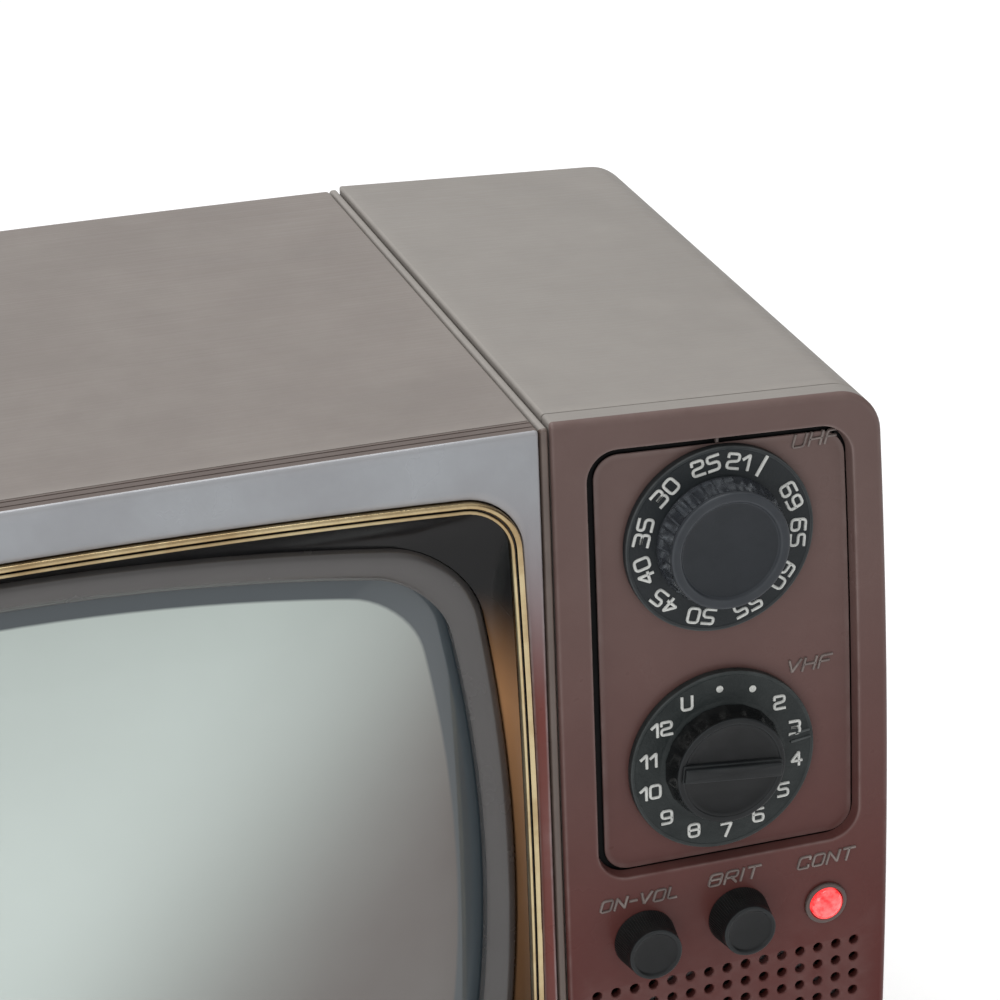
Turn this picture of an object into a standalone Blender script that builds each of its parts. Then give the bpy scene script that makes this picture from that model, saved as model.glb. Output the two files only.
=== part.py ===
"""Tube television: a portable set with a picture section and a control section side by side.

Metres, +Z up, front towards -Y. The origin is the middle of the footprint, on the surface
that the feet stand on. Depths are measured from the front face, positive towards the back.
"""
import math

import bmesh
import bpy
from mathutils import Matrix, Vector

# Overall sizes
PICTURE_WIDTH = 0.2825
GROOVE_WIDTH = 0.0031
CONTROL_WIDTH = 0.0952
BODY_HEIGHT = 0.2676
CABINET_DEPTH = 0.2028
REAR_COVER_DEPTH = 0.0620
FOOT_HEIGHT = 0.0080
FOOT_RADIUS = 0.0090
FOOT_INSET = 0.0300

# Shells
GAP = 0.0003
WALL = 0.0026
FRONT_THICKNESS = 0.0075
LOCATING_RIM = 0.0040
ROLL_RADIUS = 0.0016
GROOVE_EDGE = 0.0008
CORNER_RADIUS = 0.0120
GROOVE_CORNER_RADIUS = 0.0010
LEAST_RADIUS = 0.0005
REAR_ROLL_RADIUS = 0.0050
REAR_FLANGE = 0.0220
TOP_FALL_ANGLE = math.radians(3.0)
SIDE_BOW = 0.0035
TOP_CROWN = 0.0012
GROOVE_DEPTH = 0.0022
CABLE_HOLE_RADIUS = 0.0140
CABLE_HOLE_DEPTH = 0.1500

# Screen: half sizes, bows and corner radii of the outlines, from the front towards the glass
SCREEN_FROM_GROOVE = 0.1400
SCREEN_HEIGHT = 0.1440
TRIM_HALF = (0.1362, 0.1174)
TRIM_BOW = (0.0020, 0.0045)
TRIM_CORNER = 0.0150
TRIM_WIDTH = 0.0032
TRIM_PROUD = 0.0005
LIP_HALF = (0.1332, 0.1075)
LIP_BOW = (0.0100, 0.0120)
LIP_CORNER = 0.0220
GLASS_HALF = (0.1253, 0.0985)
GLASS_CORNER = 0.0180
FACE_MARGIN = 0.0032
FACE_SAG = 0.0150
FACE_EDGE_DEPTH = 0.0190
FACE_GLASS = 0.0070
MASK_DEPTH = 0.0120
MASK_THICKNESS = 0.0020
TUBE_RIM_DEPTH = 0.0440
TUBE_GLASS = 0.0030
FUNNEL_END = 0.1620
NECK_END = 0.2320
NECK_RADIUS = 0.0102
NECK_GLASS = 0.0012
BOSS_PLACE = (0.1240, 0.0970)
BOSS_RADIUS = 0.0045
BOSS_SET_IN = 0.0016
EAR_DEPTH = 0.0283
EAR_THICKNESS = 0.0016
EAR_IN = 0.0175
EAR_OUT = 0.0085
BAND_THICKNESS = 0.0012

# Control section: places are measured from its right side and its bottom
DIAL_FROM_RIGHT = 0.0489
UHF_HEIGHT = 0.2265
VHF_HEIGHT = 0.1604
RECESS_X = (0.0856, 0.0091)
RECESS_Z = (0.1310, 0.2585)
RECESS_DEPTH = 0.0035
RECESS_SLOPE = 0.0006
RECESS_CORNER = 0.0090
PANEL_THICKNESS = 0.0025
DIAL_RADIUS = 0.0268
DIAL_FRONT = 0.0010
DIAL_THICKNESS = 0.0022
UHF_KNOB_BASE = 0.0185
UHF_KNOB_TIP = 0.0168
UHF_KNOB_PROUD = 0.0072
UHF_KNOB_RIM = ((0.84, 0.0011), (0.87, 0.0), (0.965, 0.0), (1.0, 0.0007), (1.0, 0.0014))
VHF_KNOB_BASE = 0.0170
VHF_KNOB_TIP = 0.0156
VHF_KNOB_PROUD = 0.0057
VHF_KNOB_RIM = ((0.96, 0.0), (1.0, 0.0006))
GRIP_WIDTH = 0.0053
GRIP_PROUD = 0.0018
GRIP_ANGLE = math.radians(97.0)
GRIP_LENGTH = 0.0293
SMALL_KNOB_BASE = 0.0088
SMALL_KNOB_TIP = 0.0076
SMALL_KNOB_PROUD = 0.0095
SMALL_KNOB_RIM = ((0.82, 0.0004), (0.86, 0.0), (0.94, 0.0), (1.0, 0.0005))
POTENTIOMETER = (0.0100, 0.0120)
POTENTIOMETER_END = 0.0030
SHAFT_RADIUS = 0.0030
RUNNING_CLEARANCE = 0.0003
VOLUME_PLACE = (0.0731, 0.1105)
BRIGHTNESS_PLACE = (0.0455, 0.1114)
LAMP_PLACE = (0.0193, 0.1095)
LAMP_RADIUS = 0.0047
LAMP_RING_RADIUS = 0.0064
LAMP_RING_PROUD = 0.0012
LAMP_DOME = 0.0026
LAMP_HOLDER_LENGTH = 0.0140
GRILLE_RIGHT = 0.0101
GRILLE_TOP = 0.0950
GRILLE_PITCH = 0.0055
GRILLE_COLUMNS = 15
GRILLE_ROWS = 13
GRILLE_HOLE_RADIUS = 0.00145
SPEAKER_RADIUS = 0.0385
SPEAKER_SEAT = 0.0195
SPEAKER_POLE = 0.0043
SPEAKER_MAGNET = (0.0070, 0.0193, 0.0110)
SPEAKER_FRAME = ((0.88, 0.0), (1.0, 0.0), (1.0, 0.0016), (0.92, 0.0020), (0.47, 0.0195), (0.24, 0.0195),
                 (0.24, 0.0181), (0.44, 0.0181), (0.88, 0.0012))
SPEAKER_CONE = ((0.86, 0.0004), (0.86, 0.0012), (0.24, 0.0150), (0.20, 0.0150), (0.20, 0.0140))
TURRET_RADIUS = 0.0240
TURRET_STATIONS = 14
TURRET_MARGINS = (0.0080, 0.0100)
TUNER_FRONT = 0.0140
VHF_TUNER = (0.0660, 0.0840, 0.0620)
UHF_TUNER = (0.0600, 0.0560, 0.0440)
SHEET_METAL = 0.0012

# Inside the picture section
BOARD_SPACING = 0.0080
TRAY_DEPTHS = (0.0700, 0.1900)
TRAY_EDGE = 0.0120
BOARD_THICKNESS = 0.0016
TRANSFORMER_SIZE = (0.0600, 0.0260, 0.0500)
YOKE_DEPTHS = (0.1460, 0.1860)
YOKE_MOUTH = 0.0370
YOKE_FLANGE = (0.0480, 0.0060)
YOKE_WAIST = (0.0340, 0.0300)
YOKE_NECK = 0.0240
YOKE_EDGE = 0.0040
SOCKET_DEPTH = 0.0120
BASE_BOARD_HALF = 0.0230
COMPONENT_INSET = 0.0250
REAR_ROW_INSET = 0.0300
LINE_TRANSFORMER = (0.0190, 0.0420)
FILTER_CAPACITOR = (0.0125, 0.0400)
HEAT_SINK = (0.0500, 0.0200, 0.0250)
HEAT_SINK_CHANNELS = 5

# Rear cover
COVER_MARGIN = 0.0070
COVER_FLANGE = 0.0100
COVER_TAPER = 0.0060
COVER_EDGE = 0.0040
COVER_BODY_DEPTH = 0.0400
COVER_CORNER = 0.0140
COVER_LEAST_CORNER = 0.0040
HUMP_HALF = (0.0750, 0.0650)
HUMP_TAPER = 0.0180
HUMP_CORNER = 0.0200
VENT_WIDTH = 0.0040
VENT_HEIGHT = 0.0400
VENT_PITCH = 0.0100
VENT_COUNT = 9
VENT_COUNT_LEFT = 4
SCREW_RADIUS = 0.0015
SCREW_HEAD_RADIUS = 0.0036
SCREW_HEAD_HEIGHT = 0.0020
SCREW_LENGTH = 0.0090
PRESET_KNOB_RADIUS = 0.0060
PRESET_SHAFT_RADIUS = 0.0020
PRESET_PITCH = 0.0240
PRESET_PROUD = 0.0090
PRESET_BOARD = (0.0360, 0.0070, 0.0240)
PRESET_BOARD_SPACING = 0.0030
PRESETS_BELOW_TOP = 0.0400
AERIAL_HEIGHT = 0.0700
AERIAL_BARREL = (0.0048, 0.0065)
AERIAL_FLANGE = (0.0090, 0.0020)
AERIAL_PROUD = 0.0080
AERIAL_INSIDE = 0.0100
INLET_HEIGHT = 0.0400
INLET_HALF = (0.0110, 0.0060)
INLET_RIM = (0.0030, 0.0030)
INLET_WALL = 0.0015
INLET_DEPTH = 0.0140
PIN_RADIUS = 0.0012
PIN_OFFSET = 0.0052

# Places that follow from the sizes above
TOTAL_WIDTH = PICTURE_WIDTH + GROOVE_WIDTH + CONTROL_WIDTH
LEFT = -TOTAL_WIDTH / 2
GROOVE_LEFT = LEFT + PICTURE_WIDTH
GROOVE_RIGHT = GROOVE_LEFT + GROOVE_WIDTH
RIGHT = TOTAL_WIDTH / 2
BOTTOM = FOOT_HEIGHT
TOP = FOOT_HEIGHT + BODY_HEIGHT
BACK = CABINET_DEPTH + REAR_COVER_DEPTH
FRONT_Y = (SMALL_KNOB_PROUD - BACK) / 2
TOP_FALL = CONTROL_WIDTH * math.tan(TOP_FALL_ANGLE)
SCREEN_X = GROOVE_LEFT - SCREEN_FROM_GROOVE
SCREEN_Z = BOTTOM + SCREEN_HEIGHT - FOOT_HEIGHT
DIAL_X = RIGHT - DIAL_FROM_RIGHT
RECESS_FLOOR = RECESS_DEPTH
SLEEVE_FRONT = FRONT_THICKNESS + GAP

COLOURS = {
    "cabinet": ((0.27, 0.25, 0.23), 0.50, 0.0),
    "front": ((0.16, 0.10, 0.09), 0.35, 0.1),
    "gold": ((0.62, 0.47, 0.22), 0.25, 1.0),
    "dark_plastic": ((0.02, 0.02, 0.02), 0.25, 0.0),
    "surround": ((0.16, 0.15, 0.14), 0.30, 0.0),
    "glass": ((0.45, 0.50, 0.47), 0.05, 0.0),
    "steel": ((0.55, 0.56, 0.57), 0.35, 1.0),
    "copper": ((0.50, 0.20, 0.08), 0.40, 0.6),
    "board": ((0.30, 0.20, 0.09), 0.60, 0.0),
    "knob": ((0.025, 0.025, 0.027), 0.30, 0.0),
    "lens": ((0.80, 0.02, 0.02), 0.10, 0.0),
    "paper": ((0.05, 0.05, 0.05), 0.90, 0.0),
    "ferrite": ((0.06, 0.06, 0.07), 0.60, 0.1),
    "rubber": ((0.02, 0.02, 0.02), 0.80, 0.0),
}


def clear_scene():
    for thing in list(bpy.data.objects):
        bpy.data.objects.remove(thing, do_unlink=True)


def finish_for(name):
    """The material of one kind of surface, made once."""
    if name in bpy.data.materials:
        return bpy.data.materials[name]
    colour, roughness, metallic = COLOURS[name]
    material = bpy.data.materials.new(name)
    material.use_nodes = True
    shader = material.node_tree.nodes["Principled BSDF"]
    shader.inputs["Base Color"].default_value = (*colour, 1.0)
    shader.inputs["Roughness"].default_value = roughness
    shader.inputs["Metallic"].default_value = metallic
    return material


def add_object(name, bm, finish, place=(0.0, 0.0), axle=None):
    """Turn a bmesh into a named object; its y is a depth behind the front face."""
    bmesh.ops.recalc_face_normals(bm, faces=bm.faces)
    mesh = bpy.data.meshes.new(name)
    bm.to_mesh(mesh)
    bm.free()
    mesh.shade_smooth()
    mesh.set_sharp_from_angle(angle=math.radians(32))
    thing = bpy.data.objects.new(name, mesh)
    bpy.context.scene.collection.objects.link(thing)
    mesh.materials.append(finish_for(finish))
    if axle is None:
        thing.location = (place[0], FRONT_Y, place[1])
    else:
        thing.parent = axle
    return thing


def add_axle(name, x, z):
    """An empty on a joint's axis; the pieces that turn about it are its children."""
    axle = bpy.data.objects.new(name, None)
    axle.location = (x, FRONT_Y, z)
    bpy.context.scene.collection.objects.link(axle)
    return axle


def loft(sections, closed=False):
    """Join equal loops of points into one skin: capped at both ends, or closed into a ring."""
    bm = bmesh.new()
    loops = [[bm.verts.new(point) for point in section] for section in sections]
    pairs = list(zip(loops, loops[1:]))
    if closed:
        pairs.append((loops[-1], loops[0]))
    for first, second in pairs:
        for i in range(len(first)):
            j = (i + 1) % len(first)
            bm.faces.new((first[i], first[j], second[j], second[i]))
    if not closed:
        bm.faces.new(loops[0])
        bm.faces.new(list(reversed(loops[-1])))
    return bm


def box(x, y, z):
    """A box between two values on each axis."""
    corners = [(x[0], z[0]), (x[1], z[0]), (x[1], z[1]), (x[0], z[1])]
    return loft([[(cx, depth, cz) for cx, cz in corners] for depth in y])


def boxes(spans):
    """Several separate boxes in one mesh, for a cutter."""
    bm = bmesh.new()
    for x, y, z in spans:
        size = Vector((x[1] - x[0], y[1] - y[0], z[1] - z[0]))
        middle = Vector((x[0] + x[1], y[0] + y[1], z[0] + z[1])) / 2
        matrix = Matrix.Translation(middle) @ Matrix.Diagonal((*size, 1.0))
        bmesh.ops.create_cube(bm, size=1.0, matrix=matrix)
    return bm


def turned(profile, sides=20, closed=False, middle=(0.0, 0.0)):
    """A shape turned about the depth axis, from a profile of (radius, depth)."""
    sections = []
    for radius, depth in profile:
        section = []
        for i in range(sides):
            angle = 2 * math.pi * (i + 0.5) / sides
            x = middle[0] + radius * math.sin(angle)
            section.append((x, depth, middle[1] + radius * math.cos(angle)))
        sections.append(section)
    return loft(sections, closed)


def pins(centres, radius, depths, sides=12):
    """Several straight pins along the depth axis in one mesh, for a cutter."""
    bm = bmesh.new()
    length = depths[1] - depths[0]
    for x, z in centres:
        matrix = Matrix.Translation((x, (depths[0] + depths[1]) / 2, z))
        matrix = matrix @ Matrix.Rotation(math.pi / 2, 4, "X")
        bmesh.ops.create_cone(bm, cap_ends=True, segments=sides, radius1=radius, radius2=radius,
                              depth=length, matrix=matrix)
    return bm


def rounded_box(x, z, radii, corner_steps=3, side_steps=1):
    """Outline of a box with arcs at its corners; radii start at the lower left, anticlockwise."""
    corners = [(x[0], z[0], 1, 1), (x[1], z[0], -1, 1), (x[1], z[1], -1, -1), (x[0], z[1], 1, -1)]
    arcs = []
    for index, (cx, cz, sx, sz) in enumerate(corners):
        radius = radii[index]
        start = math.pi + index * math.pi / 2
        arc = []
        for step in range(corner_steps + 1):
            angle = start + step / corner_steps * math.pi / 2
            px = cx + sx * radius + radius * math.cos(angle)
            arc.append((px, cz + sz * radius + radius * math.sin(angle)))
        arcs.append(arc)
    outline = []
    for index, arc in enumerate(arcs):
        outline += arc
        end = arcs[(index + 1) % 4][0]
        for step in range(1, side_steps):
            share = step / side_steps
            px = arc[-1][0] + (end[0] - arc[-1][0]) * share
            outline.append((px, arc[-1][1] + (end[1] - arc[-1][1]) * share))
    return outline


def at_depth(outline, depth):
    return [(x, depth, z) for x, z in outline]


def cut(target, bm, place=(0.0, 0.0)):
    """Take a shape away from an object."""
    combine(target, bm, "DIFFERENCE", place)


def join(target, bm, place=(0.0, 0.0)):
    """Add a shape to an object, as one body."""
    combine(target, bm, "UNION", place)


def combine(target, bm, operation, place):
    count = len(target.modifiers)
    tool = add_object(f"{target.name}_tool_{count}", bm, "steel", place)
    tool.hide_render = True
    tool.display_type = "WIRE"
    modifier = target.modifiers.new(operation.lower(), "BOOLEAN")
    modifier.operation = operation
    modifier.solver = "EXACT"
    modifier.object = tool


# Outlines

def picture_outline(inset, groove_inset=None):
    """The picture section from the front: crowned top, bowed left side, straight groove side."""
    groove_inset = inset if groove_inset is None else groove_inset
    soft = max(CORNER_RADIUS - inset, LEAST_RADIUS)
    tight = max(GROOVE_CORNER_RADIUS - groove_inset, LEAST_RADIUS)
    outline = rounded_box((LEFT + inset, GROOVE_LEFT - groove_inset), (BOTTOM + inset, TOP - inset),
                          (soft, tight, tight, soft), 3, 4)
    bowed = []
    for x, z in outline:
        across = (GROOVE_LEFT - x) / PICTURE_WIDTH
        up = (z - BOTTOM) / BODY_HEIGHT
        fall = TOP_CROWN * up * ((x - SCREEN_X) / SCREEN_FROM_GROOVE) ** 2
        bowed.append((x + SIDE_BOW * across * (2 * up - 1) ** 2, z - fall))
    return bowed


def control_outline(inset, groove_inset=None):
    """The control section from the front: top falling to the right, bowed right side."""
    groove_inset = inset if groove_inset is None else groove_inset
    soft = max(CORNER_RADIUS - inset, LEAST_RADIUS)
    tight = max(GROOVE_CORNER_RADIUS - groove_inset, LEAST_RADIUS)
    outline = rounded_box((GROOVE_RIGHT + groove_inset, RIGHT - inset), (BOTTOM + inset, TOP - inset),
                          (tight, soft, soft, tight), 3, 4)
    return [fall_and_bow(x, z) for x, z in outline]


def fall_and_bow(x, z):
    across = (x - GROOVE_RIGHT) / CONTROL_WIDTH
    up = (z - BOTTOM) / BODY_HEIGHT
    return (x - SIDE_BOW * across * (2 * up - 1) ** 2, z - TOP_FALL * across * up)


def screen_outline(half, bow, corner, inset=0.0):
    """A rounded outline about the screen's middle whose sides swell outwards by the bows."""
    half_x = half[0] - inset
    half_z = half[1] - inset
    outline = rounded_box((-half_x, half_x), (-half_z, half_z), (corner - inset,) * 4, 3, 4)
    swollen = []
    for x, z in outline:
        narrow = 1 - bow[0] / half_x * (z / half_z) ** 2
        low = 1 - bow[1] / half_z * (x / half_x) ** 2
        swollen.append((SCREEN_X + x * narrow, SCREEN_Z + z * low))
    return swollen


def trim_outline(inset):
    return screen_outline(TRIM_HALF, TRIM_BOW, TRIM_CORNER, inset)


def lip_outline(inset):
    return screen_outline(LIP_HALF, LIP_BOW, LIP_CORNER, inset)


def glass_outline(inset):
    return screen_outline(GLASS_HALF, LIP_BOW, GLASS_CORNER, inset)


def scaled(outline, share):
    """The outline drawn in towards the screen's middle."""
    return [(SCREEN_X + (x - SCREEN_X) * share, SCREEN_Z + (z - SCREEN_Z) * share) for x, z in outline]


def towards_round(outline, radius, share):
    """The outline turned gradually into a circle about the screen's middle."""
    blended = []
    for x, z in outline:
        angle = math.atan2(z - SCREEN_Z, x - SCREEN_X)
        cx = SCREEN_X + radius * math.cos(angle)
        cz = SCREEN_Z + radius * math.sin(angle)
        blended.append((x + (cx - x) * share, z + (cz - z) * share))
    return blended


def boss_places():
    return [(SCREEN_X + sx * BOSS_PLACE[0], SCREEN_Z + sz * BOSS_PLACE[1])
            for sx, sz in ((-1, -1), (1, -1), (1, 1), (-1, 1))]


# Cabinet and front mouldings

def sleeve(name, outline_of):
    """A tube with one wall, rolled in at the back into a flange for the rear cover."""
    roll = [0.0, 0.5, 1.0]
    sections = [at_depth(outline_of(0.0), SLEEVE_FRONT)]
    for share in roll:
        angle = share * math.pi / 2
        inset = REAR_ROLL_RADIUS * (1 - math.cos(angle))
        depth = CABINET_DEPTH - REAR_ROLL_RADIUS * (1 - math.sin(angle))
        sections.append(at_depth(outline_of(inset), depth))
    sections.append(at_depth(outline_of(REAR_FLANGE), CABINET_DEPTH))
    sections.append(at_depth(outline_of(REAR_FLANGE), CABINET_DEPTH - WALL))
    inner_roll = REAR_ROLL_RADIUS - WALL
    for share in reversed(roll):
        angle = share * math.pi / 2
        inset = WALL + inner_roll * (1 - math.cos(angle))
        depth = CABINET_DEPTH - WALL - inner_roll * (1 - math.sin(angle))
        sections.append(at_depth(outline_of(inset), depth))
    sections.append(at_depth(outline_of(WALL), SLEEVE_FRONT))
    shell = add_object(name, loft(sections, closed=True), "cabinet")
    cut(shell, cable_hole())
    through = (CABINET_DEPTH - 2 * WALL, CABINET_DEPTH + WALL)
    cut(shell, pins(rear_screw_places(), SCREW_RADIUS + GAP, through, 8))
    return shell


def cable_hole():
    """A round way through both sleeves and the spine, for the leads between the sections."""
    bm = bmesh.new()
    middle = Vector(((GROOVE_LEFT + GROOVE_RIGHT) / 2, CABLE_HOLE_DEPTH, (BOTTOM + TOP) / 2))
    matrix = Matrix.Translation(middle) @ Matrix.Rotation(math.pi / 2, 4, "Y")
    length = GROOVE_WIDTH + 4 * WALL
    bmesh.ops.create_cone(bm, cap_ends=True, segments=16, radius1=CABLE_HOLE_RADIUS,
                          radius2=CABLE_HOLE_RADIUS, depth=length, matrix=matrix)
    return bm


def groove_spine():
    spine = add_object("groove_spine", box((GROOVE_LEFT + GAP, GROOVE_RIGHT - GAP),
                                           (GROOVE_DEPTH, CABINET_DEPTH - GROOVE_DEPTH),
                                           (BOTTOM + GROOVE_DEPTH, TOP - GROOVE_DEPTH)), "front")
    cut(spine, cable_hole())


def rolled_front(outline_of):
    """Sections of a front moulding's outer edge, from its back face round to its front face."""
    sections = [at_depth(outline_of(0.0), FRONT_THICKNESS)]
    for share in (0.0, 1 / 3, 2 / 3, 1.0):
        angle = share * math.pi / 2
        inset = ROLL_RADIUS * (1 - math.cos(angle))
        depth = ROLL_RADIUS * (1 - math.sin(angle))
        sections.append(at_depth(outline_of(inset, inset * GROOVE_EDGE / ROLL_RADIUS), depth))
    return sections


def front_bezel():
    rim = WALL + GAP
    back = FRONT_THICKNESS + LOCATING_RIM
    sections = rolled_front(picture_outline)
    sections += [at_depth(trim_outline(-GAP), 0.0), at_depth(trim_outline(-GAP), back)]
    sections += [at_depth(picture_outline(rim), back), at_depth(picture_outline(rim), FRONT_THICKNESS)]
    add_object("front_bezel", loft(sections, closed=True), "front")


def gold_trim():
    seat = MASK_THICKNESS
    edge = TRIM_WIDTH / 4
    sections = [at_depth(trim_outline(0.0), seat), at_depth(trim_outline(0.0), edge - TRIM_PROUD),
                at_depth(trim_outline(edge), -TRIM_PROUD),
                at_depth(trim_outline(TRIM_WIDTH - edge), -TRIM_PROUD),
                at_depth(trim_outline(TRIM_WIDTH), edge - TRIM_PROUD),
                at_depth(trim_outline(TRIM_WIDTH), seat)]
    add_object("gold_trim", loft(sections, closed=True), "gold")


def screen_mask():
    """A dark sloped frame behind the trim, with four bosses that the tube's ears screw to."""
    front = MASK_THICKNESS + GAP
    sections = [at_depth(trim_outline(0.0), front), at_depth(trim_outline(TRIM_WIDTH), front),
                at_depth(lip_outline(0.0), MASK_DEPTH),
                at_depth(lip_outline(0.0), MASK_DEPTH + MASK_THICKNESS),
                at_depth(trim_outline(MASK_THICKNESS), front + 2 * MASK_THICKNESS),
                at_depth(trim_outline(0.0), front + MASK_THICKNESS)]
    mask = add_object("screen_mask", loft(sections, closed=True), "dark_plastic")
    boss_front = MASK_DEPTH - BOSS_SET_IN
    boss_back = EAR_DEPTH - GAP
    for x, z in boss_places():
        join(mask, pins([(x, z)], BOSS_RADIUS, (boss_front, boss_back)))
    bore = (boss_back - SCREW_LENGTH, boss_back + GAP)
    cut(mask, pins(boss_places(), SCREW_RADIUS + RUNNING_CLEARANCE, bore, 8))


def tube_surround():
    """The rounded lip between the mask and the glass."""
    width = LIP_HALF[0] - GLASS_HALF[0]
    back = FACE_EDGE_DEPTH - 2 * MASK_THICKNESS / 3
    sections = [at_depth(lip_outline(GAP), back), at_depth(lip_outline(GAP), MASK_DEPTH - GAP),
                at_depth(lip_outline(width / 3), MASK_DEPTH - MASK_THICKNESS),
                at_depth(glass_outline(-width / 3), MASK_DEPTH - MASK_THICKNESS / 2),
                at_depth(glass_outline(0.0), MASK_DEPTH + MASK_THICKNESS),
                at_depth(glass_outline(0.0), back - MASK_THICKNESS / 2)]
    add_object("tube_surround", loft(sections, closed=True), "surround")


def face_depth(share):
    """Depth of the faceplate's front at a share of the way from its middle to its edge."""
    return FACE_EDGE_DEPTH - FACE_SAG * (1 - share * share)


def picture_tube():
    """Faceplate, funnel and neck as one glass wall, open at the neck's end."""
    rim = glass_outline(-FACE_MARGIN)
    rim_back = glass_outline(GAP - FACE_MARGIN + BAND_THICKNESS)
    inner_rim = glass_outline(TUBE_GLASS + GAP)
    rings = (0.3, 0.6, 0.85)
    funnel = (0.25, 0.5, 0.75, 1.0)
    sections = [at_depth(scaled(rim, share), face_depth(share)) for share in rings]
    sections += [at_depth(rim, FACE_EDGE_DEPTH), at_depth(rim_back, TUBE_RIM_DEPTH)]
    for share in funnel:
        depth = TUBE_RIM_DEPTH + (FUNNEL_END - TUBE_RIM_DEPTH) * share
        sections.append(at_depth(towards_round(rim_back, NECK_RADIUS, share ** 1.25), depth))
    sections.append(at_depth(towards_round(rim, NECK_RADIUS, 1.0), NECK_END))
    bore = NECK_RADIUS - NECK_GLASS
    sections.append(at_depth(towards_round(rim, bore, 1.0), NECK_END))
    for share in reversed(funnel):
        depth = TUBE_RIM_DEPTH + (FUNNEL_END - TUBE_RIM_DEPTH) * share
        sections.append(at_depth(towards_round(inner_rim, bore, share ** 1.25), depth))
    sections.append(at_depth(inner_rim, FACE_EDGE_DEPTH + FACE_GLASS + TUBE_GLASS))
    for share in reversed(rings):
        sections.append(at_depth(scaled(inner_rim, share), face_depth(share) + FACE_GLASS))
    add_object("picture_tube", loft(sections), "glass")


def tube_band():
    """A steel band shrunk round the tube's rim, with an ear at each corner."""
    inner = glass_outline(-FACE_MARGIN - GAP)
    outer = glass_outline(-FACE_MARGIN - GAP - BAND_THICKNESS)
    first = EAR_DEPTH
    last = TUBE_RIM_DEPTH - 3 * BAND_THICKNESS
    sections = [at_depth(inner, first), at_depth(outer, first), at_depth(outer, last)]
    sections.append(at_depth(inner, last))
    band = add_object("tube_band", loft(sections, closed=True), "steel")
    for x, z in boss_places():
        ear = bmesh.new()
        turn = math.atan2(z - SCREEN_Z, x - SCREEN_X)
        size = (EAR_IN + EAR_OUT, EAR_THICKNESS, 2.4 * BOSS_RADIUS)
        matrix = Matrix.Translation((x, EAR_DEPTH + EAR_THICKNESS / 2, z))
        matrix = matrix @ Matrix.Rotation(-turn, 4, "Y")
        matrix = matrix @ Matrix.Translation(((EAR_OUT - EAR_IN) / 2, 0, 0)) @ Matrix.Diagonal((*size, 1.0))
        bmesh.ops.create_cube(ear, size=1.0, matrix=matrix)
        join(band, ear)
    cut(band, loft([at_depth(inner, EAR_DEPTH - WALL), at_depth(inner, TUBE_RIM_DEPTH)]))
    cut(band, pins(boss_places(), SCREW_RADIUS + 2 * GAP, (EAR_DEPTH - WALL, TUBE_RIM_DEPTH), 8))
    for number, place in enumerate(boss_places(), 1):
        add_screw(f"tube_screw_{number}", place, EAR_DEPTH + EAR_THICKNESS + GAP)


def add_screw(name, place, seat):
    """A pan-headed screw driven in from behind, its head resting at the depth given."""
    head = seat + SCREW_HEAD_HEIGHT
    profile = [(SCREW_RADIUS, seat - SCREW_LENGTH + GAP), (SCREW_RADIUS, seat), (SCREW_HEAD_RADIUS, seat),
               (SCREW_HEAD_RADIUS * 0.8, head)]
    add_object(name, turned(profile, 8), "steel", place)


def deflection_yoke():
    first, last = YOKE_DEPTHS
    throat = NECK_RADIUS + RUNNING_CLEARANCE
    flange, thickness = YOKE_FLANGE
    profile = [(YOKE_MOUTH, first), (flange, first), (flange, first + thickness),
               (YOKE_WAIST[0], first + thickness + YOKE_EDGE), (YOKE_WAIST[1], last - YOKE_EDGE),
               (YOKE_NECK, last), (throat, last), (throat, FUNNEL_END + 5 * GAP)]
    add_object("deflection_yoke", turned(profile, 20, closed=True), "copper", (SCREEN_X, SCREEN_Z))


def tube_base_board():
    """The socket that plugs on to the neck, with its small square board."""
    half = BASE_BOARD_HALF
    first = NECK_END - SOCKET_DEPTH
    barrel = NECK_RADIUS + 2 * WALL
    board = add_object("tube_base_board", turned([(barrel, first), (barrel, NECK_END + 2 * WALL)], 20),
                       "board", (SCREEN_X, SCREEN_Z))
    join(board, box((-half, half), (NECK_END - BOARD_THICKNESS, NECK_END), (-half, half)),
         (SCREEN_X, SCREEN_Z))
    throat = NECK_RADIUS + RUNNING_CLEARANCE
    bore = [(throat, first - WALL), (throat, NECK_END + GAP)]
    cut(board, turned(bore, 20), (SCREEN_X, SCREEN_Z))


# Chassis

def chassis():
    """A folded tray on the floor of the picture section and what stands on it."""
    x = (LEFT + SIDE_BOW + CORNER_RADIUS + WALL, GROOVE_LEFT - GROOVE_CORNER_RADIUS - WALL)
    floor = BOTTOM + WALL + GAP
    tray = add_object("chassis_tray", box(x, TRAY_DEPTHS, (floor, floor + TRAY_EDGE)), "steel")
    inner_depths = (TRAY_DEPTHS[0] + SHEET_METAL, TRAY_DEPTHS[1] - SHEET_METAL)
    cut(tray, box((x[0] - WALL, x[1] + WALL), inner_depths, (floor + SHEET_METAL, floor + 2 * TRAY_EDGE)))
    transformer_x = x[0] + TRANSFORMER_SIZE[0] / 2 + BOARD_SPACING
    board_x = (transformer_x + TRANSFORMER_SIZE[0] / 2 + BOARD_SPACING, x[1])
    deck = floor + TRAY_EDGE + GAP
    add_object("main_board", box(board_x, TRAY_DEPTHS, (deck, deck + BOARD_THICKNESS)), "board")
    mains_transformer(transformer_x, floor + SHEET_METAL + GAP)
    stand_on_board(board_x, deck + BOARD_THICKNESS + GAP)


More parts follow.
